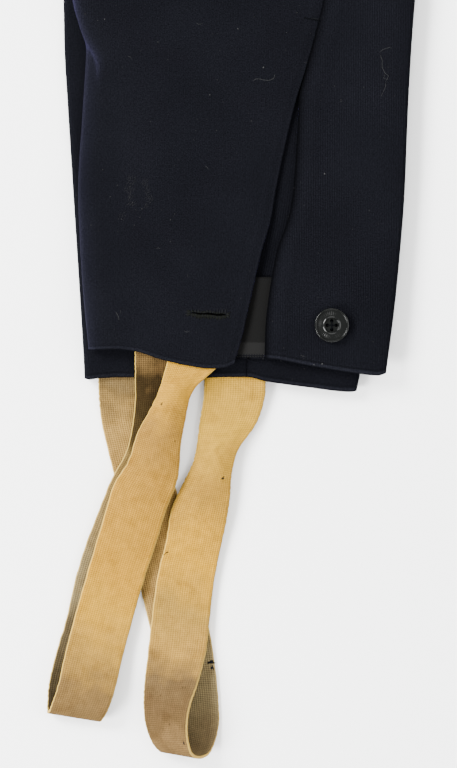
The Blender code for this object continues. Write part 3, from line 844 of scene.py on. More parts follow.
def webbing(name, stops, length, seed, weave_low, weave_high):
    """Ribbed webbing. stops give its colour, soiling and painted shade at shares of its length."""
    g = Graph(name)
    flat = g.layer()
    across, along = g.parts(flat)
    share = g.math("DIVIDE", along, length)
    wander = g.math("MULTIPLY", g.math("SUBTRACT", g.noise(flat, 55.0, 3.0), 0.5), 0.10)
    base = g.ramp(
        g.math("ADD", share, wander), [(s.share, (s.red, s.green, s.blue)) for s in stops]
    )
    lines = g.bands(flat, 0.00120, "X")
    courses = g.bands(flat, 0.00104, "Y")
    weave = g.math("MULTIPLY", g.math("ADD", lines, courses), 0.5)
    fibre = g.noise(flat, 1300.0, 3.0, 0.7)
    stretched = g.add("Mapping", {"Vector": flat, "Scale": (900.0, 60.0, 1.0)})
    yarn = g.noise(stretched.outputs[0], 1.0, 2.0)
    moved = g.add("Mapping", {"Vector": flat, "Location": (seed, seed * 2.0, 0.0)})
    soil = g.noise(moved.outputs[0], 210.0, 4.0, 0.6)
    stain = g.ramp(g.noise(moved.outputs[0], 85.0, 5.0, 0.62), [(0.53, 0.0), (0.72, 0.60)])
    faint = g.ramp(g.noise(moved.outputs[0], 45.0, 2.0), [(0.35, 0.9), (0.65, 0.25)])
    colour = g.times(base, g.ramp(weave, [(0.05, weave_low), (0.75, weave_high)]))
    colour = g.blend(g.math("MULTIPLY", faint, 0.4), colour, base)
    for noise, low, high in ((fibre, 0.80, 1.14), (yarn, 0.93, 1.05), (soil, 0.86, 1.12)):
        colour = g.times(colour, g.ramp(noise, [(0.3, low), (0.7, high)]))
    colour = g.times(colour, (0.62, 0.56, 0.52, 1), stain)
    edge = g.math("MINIMUM", across, g.math("SUBTRACT", STRAP_WIDTH, across))
    selvedge = g.ramp(edge, [(0.20, 0.75), (0.62, 0.0)], 1000.0)
    colour = g.blend(selvedge, colour, (0.44, 0.29, 0.060, 1))
    g.bump(g.math("ADD", weave, g.math("MULTIPLY", fibre, 0.35)), 0.7, 0.00030)
    return g.finish(colour, 0.88, Specular_IOR_Level=0.02)


def plain(name, colour, roughness, specular):
    return Graph(name).finish((*colour, 1), roughness, Specular_IOR_Level=specular)


def cotton(name):
    """Charcoal cotton facing with a paler turned strip along the hem."""
    g = Graph(name)
    flat = g.layer()
    along = g.parts(flat)[1]
    nap = g.noise(flat, 1700.0, 2.0, 0.7)
    twill = g.bands(flat, 0.0009, "DIAGONAL")
    colour = g.blend(nap, (0.0024, 0.0024, 0.0024, 1), (0.0054, 0.0053, 0.0052, 1))
    colour = g.times(colour, g.ramp(along, [(0.44, 1.75), (0.48, 1.0)], 50.0))
    turned = g.ramp(along, [(0.135, 1.0), (0.145, 0.0)], 50.0)
    colour = g.blend(turned, colour, (0.0028, 0.0029, 0.0036, 1))
    g.bump(g.math("ADD", twill, nap), 0.14, 0.0001)
    return g.finish(colour, 0.9, Specular_IOR_Level=0.01)


# Arguments: rib strength, lightness, painted light at the hem, share of painted sheen, the seam
# table, and painted shade on the inner wall
NAVY_FRONT = wool("navy wool, front", 0.09, 1.0, 0.30, 1.0, SEAM_LIP_PAINTED_HIGHLIGHT, 0.76)
NAVY_BACK = wool("navy wool, back", 0.34, 1.02, 0.50, 0.0, SEAM_PAINTED_SHADE, 0.76)
NAVY_UNDER = wool("navy wool, under", 0.10, 0.86, 0.42, 0.12, SEAM_LINE, 1.0)
COTTON = cotton("charcoal cotton")
THREAD_DARK = plain("dark thread", (0.0016, 0.0017, 0.0022), 0.8, 0.01)
THREAD_WORN = plain("worn thread", (0.0040, 0.0044, 0.0036), 0.8, 0.02)
THREAD_RUBBED = plain("rubbed thread", (0.0058, 0.0061, 0.0068), 0.8, 0.02)
THREAD_PALE = plain("pale hem thread", (0.0150, 0.0148, 0.0135), 0.8, 0.03)
THREAD_BLUE = plain("blue-black thread", (0.0052, 0.0055, 0.0078), 0.8, 0.03)
LINT = plain("lint", (0.0300, 0.0305, 0.0300), 0.9, 0.02)
HORN = plain("black horn", (0.0018, 0.0021, 0.0019), 0.20, 0.19)
FLOOR = plain("pale paper", (0.95, 0.955, 0.95), 0.9, 0.0)


def leg_rows(hem_top, hem_step, ankle_step, upper_step, clear):
    """Heights of a leg's rows, closest together at the hem."""
    return np.concatenate([
        np.arange(0, hem_top, hem_step), np.arange(hem_top, ANKLE_TOP, ankle_step),
        np.arange(ANKLE_TOP, WAIST - clear, upper_step), [WAIST - 0.0006, WAIST],
    ])


def left_under(x, y, height):
    return left_inner(x, y)


def right_top(x, y, height):
    """Middle of the right leg's upper wall, with the groove of its inseam."""
    z = right_inner(x, y) - hem_shape(height) - 0.5 * rounding(RIGHT, x, height)
    return z - 0.0002 * np.exp(-(((x - RIGHT.at("inseam", height)) / 0.0009) ** 2))


def right_bottom(x, y, height, panel):
    return right_outer(x, y)


fine = leg_rows(0.008, 0.0008, 0.0022, 0.0085, 0.004)
coarse = leg_rows(0.012, 0.0015, 0.0050, 0.0120, 0.006)
left_front = panel_grid(LEFT, "front", fine, left_top, left_under, 62, 20)
left_back = panel_grid(LEFT, "back", fine, left_top, left_under, 50, 20)
right_front = panel_grid(RIGHT, "front", coarse, right_bottom, right_top, 24, 30)
right_back = panel_grid(RIGHT, "back", coarse, right_bottom, right_top, 18, 26)
panels = {
    "left_front": (left_front, NAVY_FRONT, ["left_back", "right_front"]),
    "left_back": (left_back, NAVY_BACK, ["right_back"]),
    "right_front": (right_front, NAVY_UNDER, ["floor"]),
    "right_back": (right_back, NAVY_UNDER, ["floor"]),
}


# Waistband


def band_grid(leg, outer, inner):
    grid = Grid()
    for share in np.linspace(0, 1, 16):
        height = WAIST + mix(SEAM, GAP + BAND_HEIGHT, share)
        (fx, fy, fz, _), (bx, by, bz, _) = (
            turn(leg, panel, height, BAND, outer, inner) for panel in ("front", "back")
        )
        tx = mix(fx[0], bx[0], spread(60))[1:-1]
        ty = np.full(len(tx), height)
        tz = outer(tx, ty) + 0.00015 * waves(tx, ty, 7, 0.05) * sin(pi * share)
        front_end = leg.at("front", height) + ALLOWANCE
        back_end = leg.at("back", height) - ALLOWANCE
        sx = np.linspace(front_end, fx[-1], 4)[:-1]
        ex = np.linspace(bx[-1], back_end, 4)[1:]
        x = np.concatenate([sx, fx[::-1], tx, bx, ex])
        y = np.concatenate([np.full(3, height), fy[::-1], ty, by, np.full(3, height)])
        z = np.concatenate([
            inner(sx, np.full(3, height)), fz[::-1], tz, bz, inner(ex, np.full(3, height)),
        ])
        u = np.concatenate([[0], np.cumsum(np.hypot(np.diff(x), np.diff(z)))])
        grid.add(x, y, z, u, y)
    return grid


bands = {
    "waistband_left": band_grid(
        LEFT, lambda x, y: left_outer(x, y, BAND), lambda x, y: left_inner(x, y, BAND)
    ),
    "waistband_right": band_grid(
        RIGHT, lambda x, y: right_outer(x, y, BAND), lambda x, y: right_inner(x, y, BAND)
    ),
}


def facing_grid():
    grid = Grid()
    for height in np.linspace(0.0012, FACING_TOP, 40):
        x = np.linspace(FACING_FRONT, FACING_BACK, 40)
        y = height + LEFT.hem_rise(x, height, False)
        z = left_inner(x, y) + (CLOTH + FACING) / 2 + 2 * GAP
        z = z + 0.0001 * waves(x, y, 9, 0.018)
        grid.add(x, y, z, x, np.full(len(x), height))
    return grid


# Straps


def strap_line(rungs):
    """The rungs with smooth ones put in between, as left, right and arch arrays."""
    keys = np.array(rungs)
    keys = np.concatenate([keys[:1], keys, keys[-1:]])
    line = []
    for i in range(1, len(keys) - 2):
        a, b, c, d = keys[i - 1 : i + 3]
        for t in np.arange(STRAP_CUTS) / STRAP_CUTS:
            line.append(
                b + 0.5 * t * (c - a + t * (2 * a - 5 * b + 4 * c - d + t * (3 * (b - c) + d - a)))
            )
    line.append(keys[-1])
    return np.array(line)


def strap_grid(rungs, under, first_end, settle, seed):
    line = strap_line(rungs)
    share = np.linspace(0, 1, STRAP_LANES + 1)
    middle = (line[:, :3] + line[:, 3:6]) / 2
    run = np.concatenate([[0], np.cumsum(np.linalg.norm(np.diff(middle, axis=0), axis=1))])
    grid = Grid()
    for i, row in enumerate(line):
        left, right = row[:3], row[3:6]
        way = (right - left) / np.linalg.norm(right - left)
        fray = 0.00010 * sin(run[i] * 2100 + seed) + 0.00008 * sin(run[i] * 5300)
        left, right = left - way * fray, right + way * fray * 0.7
        point = left + (right - left) * share[:, None]
        x, y = point[:, 0], point[:, 1]
        free = point[:, 2] + row[6] * np.sin(pi * share)
        extra = first_end if i < len(line) / 2 else 0.0
        laid = under(x, y) + (CLOTH + WEB) / 2 + GAP + extra
        z = mix(free, laid, ease((y - settle[0]) / settle[1]))
        grid.add(x, y, z, STRAP_WIDTH * share, np.full(len(share), run[i]))
    return grid, float(run[-1])


left_strap, left_length = strap_grid(LEFT_STRAP, left_inner, WEB + GAP, LEFT_SETTLE, 0.4)
right_strap, right_length = strap_grid(RIGHT_STRAP, right_outer, 0.0, RIGHT_SETTLE, 2.1)

# The webbing's colour at a share of a strap's length from its upper end, in thousandths.
# Its dark stretches are partly soiling and partly painted shade: under the hem, under the
# other strap and inside the loops
Stop = namedtuple("Stop", "share red green blue")

LEFT_OUTSIDE = rows(Stop, [
    (0, 300, 155, 11), (80, 310, 160, 14), (130, 190, 100, 18), (200, 240, 122, 14),
    (310, 285, 142, 10), (360, 308, 162, 12), (410, 226, 126, 21), (455, 115, 68, 22),
    (490, 101, 61, 22), (1000, 180, 98, 20),
])
LEFT_INSIDE = rows(Stop, [
    (0, 180, 98, 20), (460, 18, 12.5, 6.5), (520, 20, 14, 7), (545, 34, 25, 12),
    (600, 62, 46, 23), (655, 132, 101, 48), (700, 130, 94, 41), (800, 145, 92, 28),
    (822, 92, 60, 19), (842, 42, 27, 9), (875, 23, 15, 5.3), (930, 17, 10.5, 3.8),
    (958, 82, 49, 17),
])
RIGHT_OUTSIDE = rows(Stop, [
    (0, 245, 136, 17), (110, 300, 170, 15), (180, 218, 117, 16), (260, 325, 166, 9),
    (330, 214, 124, 22), (370, 238, 133, 25), (410, 84, 52, 21), (440, 67, 40, 16),
    (465, 70, 42, 16), (485, 97, 58, 22), (1000, 170, 95, 20),
])
RIGHT_INSIDE = rows(Stop, [
    (0, 180, 100, 21), (500, 110, 76, 36), (535, 92, 65, 31), (570, 120, 90, 43),
    (620, 160, 122, 58), (680, 180, 112, 34), (780, 215, 127, 36), (850, 160, 92, 25),
    (910, 205, 124, 34), (943, 92, 58, 20), (970, 100, 66, 26),
])
RIM = plain("webbing edge", (0.33, 0.21, 0.050), 0.85, 0.02)
WEB_LEFT = [
    webbing("webbing, left inside", LEFT_INSIDE, left_length, 0.11, 0.36, 1.22),
    webbing("webbing, left", LEFT_OUTSIDE, left_length, 0.37, 0.52, 1.17),
    RIM,
]
WEB_RIGHT = [
    webbing("webbing, right inside", RIGHT_INSIDE, right_length, 0.59, 0.36, 1.22),
    webbing("webbing, right", RIGHT_OUTSIDE, right_length, 0.83, 0.52, 1.17),
    RIM,
]


# Sewing, marks and lint


def at(px, py):
    """A place in the photograph, on the flat garment."""
    return ((px - ORIGIN[0]) * PIXEL, (ORIGIN[1] - py) * PIXEL)


def left_surface(x, y):
    """Top of the left leg at a place on it."""
    height = y - float(LEFT.hem_rise(x, y, True))
    panel = "front" if x < float(LEFT.seam("front", max(height, 0.0))) else "back"
    return float(left_top(np.array(x), y, height, panel)) + CLOTH / 2


def facing_surface(x, y):
    return float(left_inner(x, y)) + (CLOTH + FACING) / 2 + 2 * GAP + FACING / 2


def small(name, points, faces, material):
    """A small piece of one material, carried by the garment."""
    obj = mesh_object(name, [tuple(p) for p in points], faces, None, [material])
    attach(obj, "root")
    return obj


def tubes(name, paths, radius, material, sides=6):
    """Thin round threads along paths, tapered at their ends, as one object."""
    points, faces = [], []
    for path in paths:
        path = [Vector(p) for p in path]
        base = len(points)
        for i, p in enumerate(path):
            ahead = path[min(i + 1, len(path) - 1)] - path[max(i - 1, 0)]
            side = ahead.cross(Vector((0, 0, 1)))
            side = side.normalized() if side.length > 1e-9 else Vector((1, 0, 0))
            up = side.cross(ahead).normalized()
            thick = radius * (0.45 if i in (0, len(path) - 1) else 1.0)
            for k in range(sides):
                turn_by = 2 * pi * k / sides
                points.append(p + (side * cos(turn_by) + up * sin(turn_by)) * thick)
        for i in range(len(path) - 1):
            for k in range(sides):
                a, b = base + i * sides + k, base + i * sides + (k + 1) % sides
                faces.append((a, a + sides, b + sides, b))
        faces.append(tuple(base + k for k in range(sides)))
        faces.append(tuple(base + (len(path) - 1) * sides + k for k in reversed(range(sides))))
    return small(name, points, faces, material)


def stitch(start, end, surface, rise):
    """One stitch that rises out of the cloth and dips back in."""
    out = []
    for share, lift in ((0.0, -0.6), (0.25, 0.8), (0.75, 0.8), (1.0, -0.6)):
        x, y = mix(start[0], end[0], share), mix(start[1], end[1], share)
        out.append((x, y, surface(x, y) + rise * lift))
    return out


def running_stitches(name, path, pitch, length, radius, surface, material, rise):
    """Stitches along a path of places on the cloth."""
    path = np.array(path, float)
    run = np.concatenate([[0], np.cumsum(lengths(path))])
    paths, place = [], pitch * 0.3
    while place + length < run[-1]:
        ends = [
            tuple(np.interp(d, run, path[:, k]) for k in (0, 1))
            for d in (place, place + length)
        ]
        paths.append(stitch(*ends, surface, rise))
        place += pitch
    return tubes(name, paths, radius, material)


def buttonhole():
    """A worn slit, wider towards the back, with uneven stitches over its sides."""
    start, end = np.array(at(191.6, 313.2)), np.array(at(226.0, 315.2))
    way = (end - start) / np.linalg.norm(end - start)
    across = np.array([-way[1], way[0]])
    groups = {"worn": [], "rubbed": []}
    count = 56
    for i in range(count + 1):
        middle = start + (end - start) * i / count
        middle = middle + across * 0.00016 * sin(i * 0.24 + 1.0)
        for side, length in ((1, 0.0017), (-1, 0.0028)):
            if side == 1 and sin(i * 2.3 + 0.4) > 0.70:
                continue
            length *= 0.85 + 0.22 * sin(i * 2.7 + side) + 0.12 * sin(i * 5.9)
            lean = way * 0.00018 * sin(i * 1.3 + side)
            group = "rubbed" if sin(i * 3.7 + 2 * side) > 0.60 - 0.30 * side else "worn"
            if side == 1 and group == "rubbed":
                length *= 1.1 + 0.8 * i / count
            groups[group].append(stitch(
                middle + across * side * 0.00022, middle + across * side * length + lean,
                left_surface, 0.00016,
            ))
    for tip, sign in ((start, -1), (end, 1)):
        for k in range(7):
            aside = across * (k - 3.2) * 0.00055
            group = "rubbed" if k in (1, 4) else "worn"
            reach = 0.0025 - 0.0004 * sign + 0.0005 * sin(k * 2.1 + sign)
            groups[group].append(stitch(
                tip + way * sign * 0.0002 + aside * 0.4, tip + way * sign * reach + aside,
                left_surface, 0.00016,
            ))
    made = [
        tubes("buttonhole_stitches", groups["worn"], 0.00020, THREAD_WORN),
        tubes("buttonhole_rubbed", groups["rubbed"], 0.00018, THREAD_RUBBED),
    ]
    # The slit's opening: a flat near-black sheet of painted shade, a little above the cloth
    upper, lower = [], []
    for i in range(29):
        share = i / 28
        middle = start + (end - start) * share
        middle = middle + across * 0.00016 * sin(share * count * 0.24 + 1.0)
        wide = 0.00034 + 0.00034 * float(ease((share - 0.30) / 0.35))
        wide += 0.00007 * sin(share * 31) + 0.00005 * sin(share * 53)
        wide *= min(1.0, 0.15 + 5 * share, 0.15 + 9 * (1 - share))
        for row, side in ((upper, 1), (lower, -1)):
            spot = middle + across * side * wide
            row.append((*spot, left_surface(*spot) + 0.00020))
    outline = upper + lower[::-1]
    return [*made, small("buttonhole_slit", outline, [tuple(range(len(outline)))], SLIT_PAINTED_SHADE)]


def bar_tack():
    """A dark bar across the top of the vent, with a rubbed thread above it."""
    made = []
    for name, ends, radius, material in (
        ("vent_bar_tack", ((303.8, 18.2), (320.4, 21.6)), 0.00030, THREAD_DARK),
        ("vent_bar_rubbed", ((310.8, 18.4), (319.4, 19.6)), 0.00016, THREAD_RUBBED),
    ):
        start, end = (np.array(at(*place)) for place in ends)
        path = []
        for i in range(13):
            spot = start + (end - start) * i / 12
            path.append((*spot, left_surface(*spot) + 0.0001 + 0.00008 * sin(i * 2.2)))
        made.append(tubes(name, [path], radius, material))
    return made


# Round flecks of lint on the left leg: their places in the photograph, and radii in mm
PALE_FLECKS = [
    (263.5, 67.8, 0.4), (238, 29.2, 0.3), (210, 95.2, 0.28), (324.6, 174, 0.42),
    (322, 364, 0.4), (313.8, 364.8, 0.3), (105, 20, 0.32),
]
FAINT_FLECKS = [
    (85.6, 15, 0.26), (98, 21.4, 0.26), (297, 13, 0.3), (286.6, 33, 0.24), (305, 63, 0.2),
    (334.6, 86.4, 0.24), (341, 100, 0.26), (310.6, 33.6, 0.18), (304, 205.4, 0.2),
    (318.6, 253.4, 0.2), (352.2, 229.6, 0.2), (366, 297, 0.2), (272.4, 321.4, 0.22),
    (150.8, 122, 0.22), (241, 298.4, 0.2), (225, 342, 0.18), (232.4, 352, 0.18),
    (263, 359, 0.22), (280.8, 361, 0.2), (173, 303, 0.18), (118, 232, 0.18), (168, 60, 0.2),
    (194, 140, 0.18), (142.2, 209, 0.36), (136.2, 210.2, 0.22), (140.2, 217.4, 0.24),
    (117.6, 185.6, 0.28), (110.6, 197, 0.28), (103, 170, 0.28), (170.6, 220, 0.32),
    (175, 214.2, 0.26), (134.6, 225.4, 0.24), (132.6, 202.8, 0.3), (129.8, 197.4, 0.28),
    (122, 219.6, 0.26),
]


def specks(name, flecks, material, sides=8):
    """Low rounded flecks on the cloth, as one object."""
    points, faces = [], []
    for i, (px, py, radius) in enumerate(flecks):
        x, y = at(px, py)
        z = left_surface(x, y)
        radius = radius / 1000
        base = len(points)
        for lift, wide in ((0.0, 1.0), (0.55, 0.78)):
            for k in range(sides):
                turn_by = 2 * pi * k / sides
                reach = radius * wide * (1 + 0.25 * sin(2 * turn_by + i * 1.9))
                points.append((
                    x + reach * cos(turn_by), y + reach * sin(turn_by),
                    z + radius * lift,
                ))
        top = base + sides
        for k in range(sides):
            after = (k + 1) % sides
            faces.append((base + k, base + after, top + after, top + k))
        faces.append(tuple(top + k for k in range(sides)))
        faces.append(tuple(base + k for k in reversed(range(sides))))
    return small(name, points, faces, material)


# Fibres of lint on the left leg, by their radius: their places in the photograph
FIBRES = {
    0.00006: [
        [(379, 53), (383, 50), (389, 48), (392, 49)],
        [(380, 55), (382, 61), (382, 68), (385, 74), (388.4, 76.4), (386.8, 80), (383.4, 79),
         (384.6, 75.4)],
        [(386, 81), (385, 88), (381, 97)],
        [(120.6, 310), (121.4, 314)],
        [(156.4, 248.6), (158.8, 248.0), (160.2, 249.0)],
        [(184.4, 331.0), (187.2, 332.2), (190.6, 331.4)],
        [(205.4, 166.6), (207.6, 167.6), (208.6, 169.6)],
        [(187.8, 274.6), (188.4, 277.6)],
        [(300.4, 355.0), (303.0, 356.4), (306.0, 356.0)],
        [(372.6, 341.0), (373.4, 343.0)],
    ],
    0.00007: [
        [(253, 81), (256, 79.2), (260, 79.4), (264, 80.4), (269, 80.8), (273, 79.2),
         (275, 76.6), (273.6, 74.6)],
        [(116, 312), (118.4, 316), (119.6, 321)],
        [(196.6, 23.6), (199, 24.8), (203, 24.0)],
        [(128.0, 57.0), (130.6, 57.6), (132.4, 59.6)],
        [(216.4, 79.6), (219.0, 80.6)],
    ],
}


def lint():
    made = []
    for i, (radius, fibres) in enumerate(FIBRES.items()):
        paths = []
        for places in fibres:
            spots = [at(*place) for place in places]
            paths.append([(x, y, left_surface(x, y) + radius * 0.6) for x, y in spots])
        made.append(tubes(f"lint_{i}", paths, radius, LINT))
    return made


# Patches of chalk strokes: place in the photograph, half width and height in pixels, count
SCUFFS = [
    (131.5, 181, 5, 5.5, 17), (129, 189.5, 5.5, 3.5, 13), (130.5, 196.5, 2.4, 5, 9),
    (132.5, 204, 4.6, 2.2, 9), (145.3, 183, 3.5, 4.2, 12), (147.5, 191.5, 3, 4.5, 10),
    (149.5, 199.5, 3.8, 3.8, 12), (146.5, 206, 2, 2, 4), (123, 216.5, 4.5, 4.5, 7),
]


def chalk_scuff():
    """Faint pale strokes in two bowed patches, side by side."""
    paths = []
    for n, (px, py, wide, tall, strokes) in enumerate(SCUFFS):
        x0, y0 = at(px, py)
        for i in range(strokes):
            turn_by = i * EVEN_TURN + n
            reach = PIXEL * sqrt((i + 0.5) / strokes)
            x = x0 + wide * reach * cos(turn_by)
            y = y0 + tall * reach * sin(turn_by)
            lean = radians(56 + 20 * sin(i * 1.9 + n))
            half = 0.0004 + 0.0007 * (sin(i * 4.1 + n) ** 2)
            ends = [(x - half * cos(lean), y - half * sin(lean)),
                    (x + half * cos(lean), y + half * sin(lean))]
            paths.append([(a, b, left_surface(a, b) + 0.00002) for a, b in ends])
    return tubes("chalk_scuff", paths, 0.00010, CHALK, 4)


def blotch(name, grid, half, px, py, wide, tall, material, turned=0.0, sides=14):
    """A thin mark on the strap's upper side, near a place in the photograph.

    Its half sizes are in millimetres, and turned is its angle to the strap.
    """
    points = np.array(grid.points)
    first = 0 if half == "front" else len(points) // 2
    searched = points[first:] if first else points[: len(points) // 2]
    x, y = at(px, py)
    away = np.hypot(searched[:, :, 0] - x, searched[:, :, 1] - y)
    i, j = np.unravel_index(np.argmin(away), away.shape)
    i = min(max(i + first, 1), len(points) - 2)
    j = min(max(j, 1), points.shape[1] - 2)
    middle = Vector(points[i, j])
    across = Vector(points[i, j + 1] - points[i, j - 1]).normalized()
    along = Vector(points[i + 1, j] - points[i - 1, j]).normalized()
    up = across.cross(along).normalized()
    if up.z < 0:
        up = -up
    c, s = cos(turned) / 1000, sin(turned) / 1000
    out = []
    for k in range(sides):
        angle = 2 * pi * k / sides
        uneven = 0.72 + 0.28 * sin(3 * angle + wide * 9) + 0.16 * sin(5 * angle + px)
        a, b = wide * cos(angle) * uneven, tall * sin(angle) * uneven
        flat = across * (a * c - b * s) + along * (a * s + b * c)
        out.append(middle + flat + up * (WEB / 2 + 0.00006))
    return small(name, out, [tuple(range(sides))], material)


# Near-black painted shade for the buttonhole's opening
SLIT_PAINTED_SHADE = plain("painted shade in the slit", (0.0004, 0.0004, 0.0004), 1.0, 0.0)
CHALK = plain("chalk", (0.0150, 0.0150, 0.0152), 0.95, 0.01)
INK = plain("black stain", (0.0050, 0.0054, 0.0066), 0.9, 0.02)
GRIME = plain("grime", (0.036, 0.022, 0.009), 0.95, 0.02)

left_details = [
    *buttonhole(), *bar_tack(), *lint(), chalk_scuff(),
    specks("pale_specks", PALE_FLECKS, LINT), specks("faint_specks", FAINT_FLECKS, CHALK),
    running_stitches(
        "left_hem_stitches",
        [(x, 0.0034 + float(LEFT.outer_hem(x))) for x in np.linspace(0.018, 0.076, 30)],
        0.0030, 0.0008, 0.00010, left_surface, THREAD_BLUE, 0.00005,
    ),
]
FACING_ROWS = [(0.0043, THREAD_PALE), (0.0054, THREAD_PALE), (0.0452, THREAD_RUBBED)]
facing_details = [
    running_stitches(
        f"facing_stitches_{k}", [(-0.004, y), (0.030, y)], 0.0014, 0.0009, 0.00013,
        facing_surface, material, 0.00012,
    )
    for k, (y, material) in enumerate(FACING_ROWS)
]
left_marks = [
    blotch("left_strap_mark_" + name, left_strap, *mark)
    for name, *mark in (
        ("1", "front", 162, 403, 0.6, 1.1, GRIME),
        ("2", "front", 175.4, 442, 0.4, 0.6, GRIME),
    )
]
right_marks = [
    blotch("right_strap_" + name, right_strap, *mark)
    for name, *mark in (
        ("hole", "front", 223.6, 477.5, 0.8, 1.3, INK, 0.5),
        ("slit", "front", 166.8, 552.6, 0.4, 2.2, INK, 0.75),
        ("stain_1", "back", 211.2, 663.0, 2.5, 1.3, INK),
        ("stain_2", "back", 213.6, 666.4, 1.1, 1.7, INK),
        ("stain_3", "back", 208.4, 660.6, 1.1, 0.8, INK, 0.8),
        ("dirt_1", "front", 182.0, 688.6, 0.8, 0.6, GRIME),
        ("dirt_2", "front", 185.6, 687.4, 0.5, 0.7, GRIME),
        ("dirt_3", "front", 161.2, 695.0, 0.5, 0.7, GRIME),
        ("dirt_4", "front", 169.8, 723.4, 0.6, 0.9, GRIME),
        ("dirt_5", "front", 184.2, 742.0, 0.6, 1.2, INK),
    )
]

for name, (grid, material, rests_on) in panels.items():
    declare(
        shell(name + "_cloth", grid, CLOTH, [material]), name, grid,
    )
for name, grid in bands.items():
    declare(shell(name + "_cloth", grid, BAND, [NAVY_UNDER]), name, grid)
facing = facing_grid()
declare(
    shell("left_hem_facing_cloth", facing, FACING, [COTTON]), "left_hem_facing",
    facing,
)
declare(
    shell("left_strap_web", left_strap, WEB, WEB_LEFT), "left_stirrup_strap",
    left_strap,
)
declare(
    shell("right_strap_web", right_strap, WEB, WEB_RIGHT), "right_stirrup_strap",
    right_strap,
)


# Buttons


# Rings of the button's turned face: shares of its radius and of its thickness
BUTTON_RINGS = [
    (0.02, 0.57), (0.14, 0.57), (0.26, 0.565), (0.34, 0.56), (0.386, 0.565), (0.392, 0.6),
    (0.408, 0.76), (0.424, 0.88), (0.44, 0.915), (0.462, 0.905), (0.492, 0.855), (0.522, 0.808),
    (0.545, 0.8), (0.6, 0.8), (0.7, 0.8), (0.8, 0.8), (0.864, 0.8), (0.868, 0.83), (0.88, 0.93),
    (0.895, 0.985), (0.915, 1), (0.955, 0.995), (0.982, 0.94), (1, 0.76), (0.975, 0.46),
    (0.9, 0.26), (0.7, 0.1), (0.4, 0),
]
# Those that carry the rim's ridges, and the points round each ring
TICKED = range(13, 16)
BUTTON_TURNS = 200


def button_mesh():
    """A turned horn button, its rim marked with plain short ridges."""
    points, faces = [], []
    for i, (radius, height) in enumerate(BUTTON_RINGS):
        for k in range(BUTTON_TURNS):
            angle = 2 * pi * k / BUTTON_TURNS
            ridge = 0.0
            if i in TICKED:
                worn = 0.60 + 0.20 * sin(5 * angle) - 0.30 * cos(angle)
                ridge = 0.036 * worn * sin(angle * 40 + 0.8 * sin(3 * angle))
            points.append((
                BUTTON_RADIUS * radius * cos(angle),
                BUTTON_RADIUS * radius * sin(angle),
                BUTTON_THICKNESS * (height + ridge),
            ))
    for i in range(len(BUTTON_RINGS) - 1):
        for k in range(BUTTON_TURNS):
            a, b = i * BUTTON_TURNS + k, i * BUTTON_TURNS + (k + 1) % BUTTON_TURNS
            faces.append((a, a + BUTTON_TURNS, b + BUTTON_TURNS, b))
    faces.append(tuple(reversed(range(BUTTON_TURNS))))
    last = (len(BUTTON_RINGS) - 1) * BUTTON_TURNS
    faces.append(tuple(last + k for k in range(BUTTON_TURNS)))
    return points, faces


def hole_rods():
    """Four round rods, joined, that cut the button's holes."""
    rods = []
    for quarter in range(4):
        angle = quarter * pi / 2
        bpy.ops.mesh.primitive_cylinder_add(
            vertices=20, radius=HOLE_RADIUS, depth=3 * BUTTON_THICKNESS,
            location=(HOLE_CIRCLE * cos(angle), HOLE_CIRCLE * sin(angle), 0),
        )
        rods.append(bpy.context.object)
    rod = rods[0]
    with bpy.context.temp_override(
        active_object=rod, selected_objects=rods, selected_editable_objects=rods
    ):
        bpy.ops.object.join()
    bpy.context.view_layer.update()
    rod.data.transform(rod.matrix_world)
    rod.matrix_world.identity()
    return rod


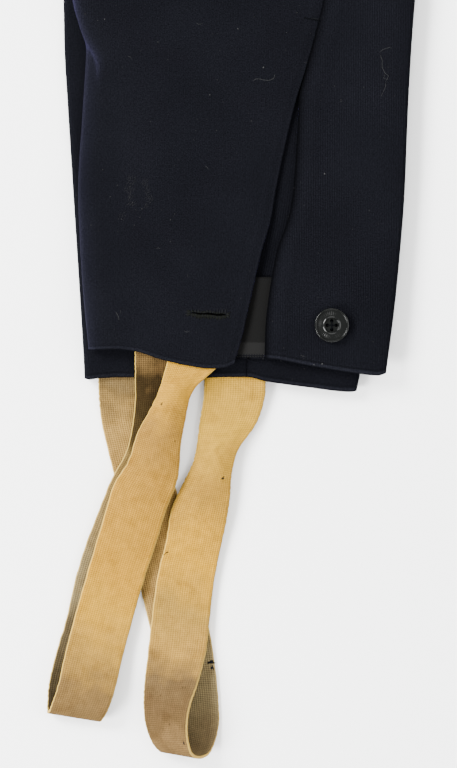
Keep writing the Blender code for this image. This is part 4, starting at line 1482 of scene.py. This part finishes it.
def horn_button(name, node):
    """A button with its holes cut and its thread, on the place of its CAD node."""
    points, faces = button_mesh()
    obj = mesh_object(name, points, faces, None, [HORN])
    obj.location = (0, 0, 0)
    rods = hole_rods()
    drill = obj.modifiers.new("drill", "BOOLEAN")
    drill.operation = "DIFFERENCE"
    drill.object = rods
    bpy.context.view_layer.update()
    graph = bpy.context.evaluated_depsgraph_get()
    mesh = bpy.data.meshes.new_from_object(obj.evaluated_get(graph))
    obj.modifiers.clear()
    obj.data = mesh
    mesh.materials.clear()
    mesh.materials.append(HORN)
    bpy.data.objects.remove(rods)
    mesh.shade_smooth()
    mesh.set_sharp_from_angle(angle=radians(50))
    low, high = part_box(node)
    under = node == "right_button"
    middle = [(a + b) / 2 for a, b in zip(low, high)]
    obj.location = (middle[0], middle[1], high[2] if under else low[2])
    obj.rotation_euler = (0, pi if under else 0, 0)
    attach(obj, "root")
    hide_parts(node)
    paths = []
    for turned in (0.0, pi / 2):
        for step in (-0.00018, 0.00018):
            path = []
            for share, height in (
                (-1, 0.30), (-0.96, 0.58), (-0.80, 0.66), (0, 0.68 + turned * 0.07),
                (0.80, 0.66), (0.96, 0.58), (1, 0.30),
            ):
                a, b = HOLE_CIRCLE * share, step
                x = a * cos(turned) - b * sin(turned)
                y = a * sin(turned) + b * cos(turned)
                z = BUTTON_THICKNESS * height
                if under:
                    x, z = -x, high[2] - low[2] - z
                path.append((x, y, z))
            paths.append(path)
    thread = tubes(name + "_thread", paths, 0.00019, THREAD_DARK)
    thread.location = (middle[0], middle[1], low[2])
    return obj


horn_button("left_button_horn", "left_button")
horn_button("right_button_horn", "right_button")


# Floor, light and camera

bpy.ops.mesh.primitive_plane_add(size=6)
floor = bpy.context.object
floor.name = "floor"
floor.data.materials.append(FLOOR)


def lamp(name, place, size, energy):
    """A square lamp that is aimed at the middle of the view."""
    light = bpy.data.lights.new(name, "AREA")
    light.shape = "SQUARE"
    light.size = size
    light.energy = energy
    obj = bpy.data.objects.new(name, light)
    obj.location = Vector(place) + CENTRE
    obj.rotation_euler = Vector(place).to_track_quat("Z", "Y").to_euler()
    link(obj)


CENTRE = SHIFT + Vector((*VIEW_CENTRE, 0))
lamp("left, high", (-1.35, 0.85, 1.15), 0.8, 116.0)
lamp("left, low", (-1.35, -0.75, 1.15), 0.8, 112.0)
lamp("right", (1.6, 0.1, 1.5), 1.6, 58.0)
lamp("foot", (0.2, -1.7, 1.4), 1.4, 30.0)
lamp("head", (0.0, 1.9, 1.5), 1.4, 30.0)
world = bpy.context.scene.world or bpy.data.worlds.new("studio")
bpy.context.scene.world = world
world.use_nodes = True
world.node_tree.nodes["Background"].inputs["Color"].default_value = (1, 1, 1, 1)
world.node_tree.nodes["Background"].inputs["Strength"].default_value = 0.9

camera = bpy.data.cameras.new("camera")
camera.sensor_fit = "VERTICAL"
camera.sensor_height = 36
camera.lens = 36 * CAMERA_HEIGHT / (VIEW[1] * PIXEL)
camera.dof.use_dof = False
eye = bpy.data.objects.new("camera", camera)
eye.location = CENTRE + Vector((0, 0, VIEW_LEVEL + CAMERA_HEIGHT))
link(eye)
bpy.context.scene.camera = eye
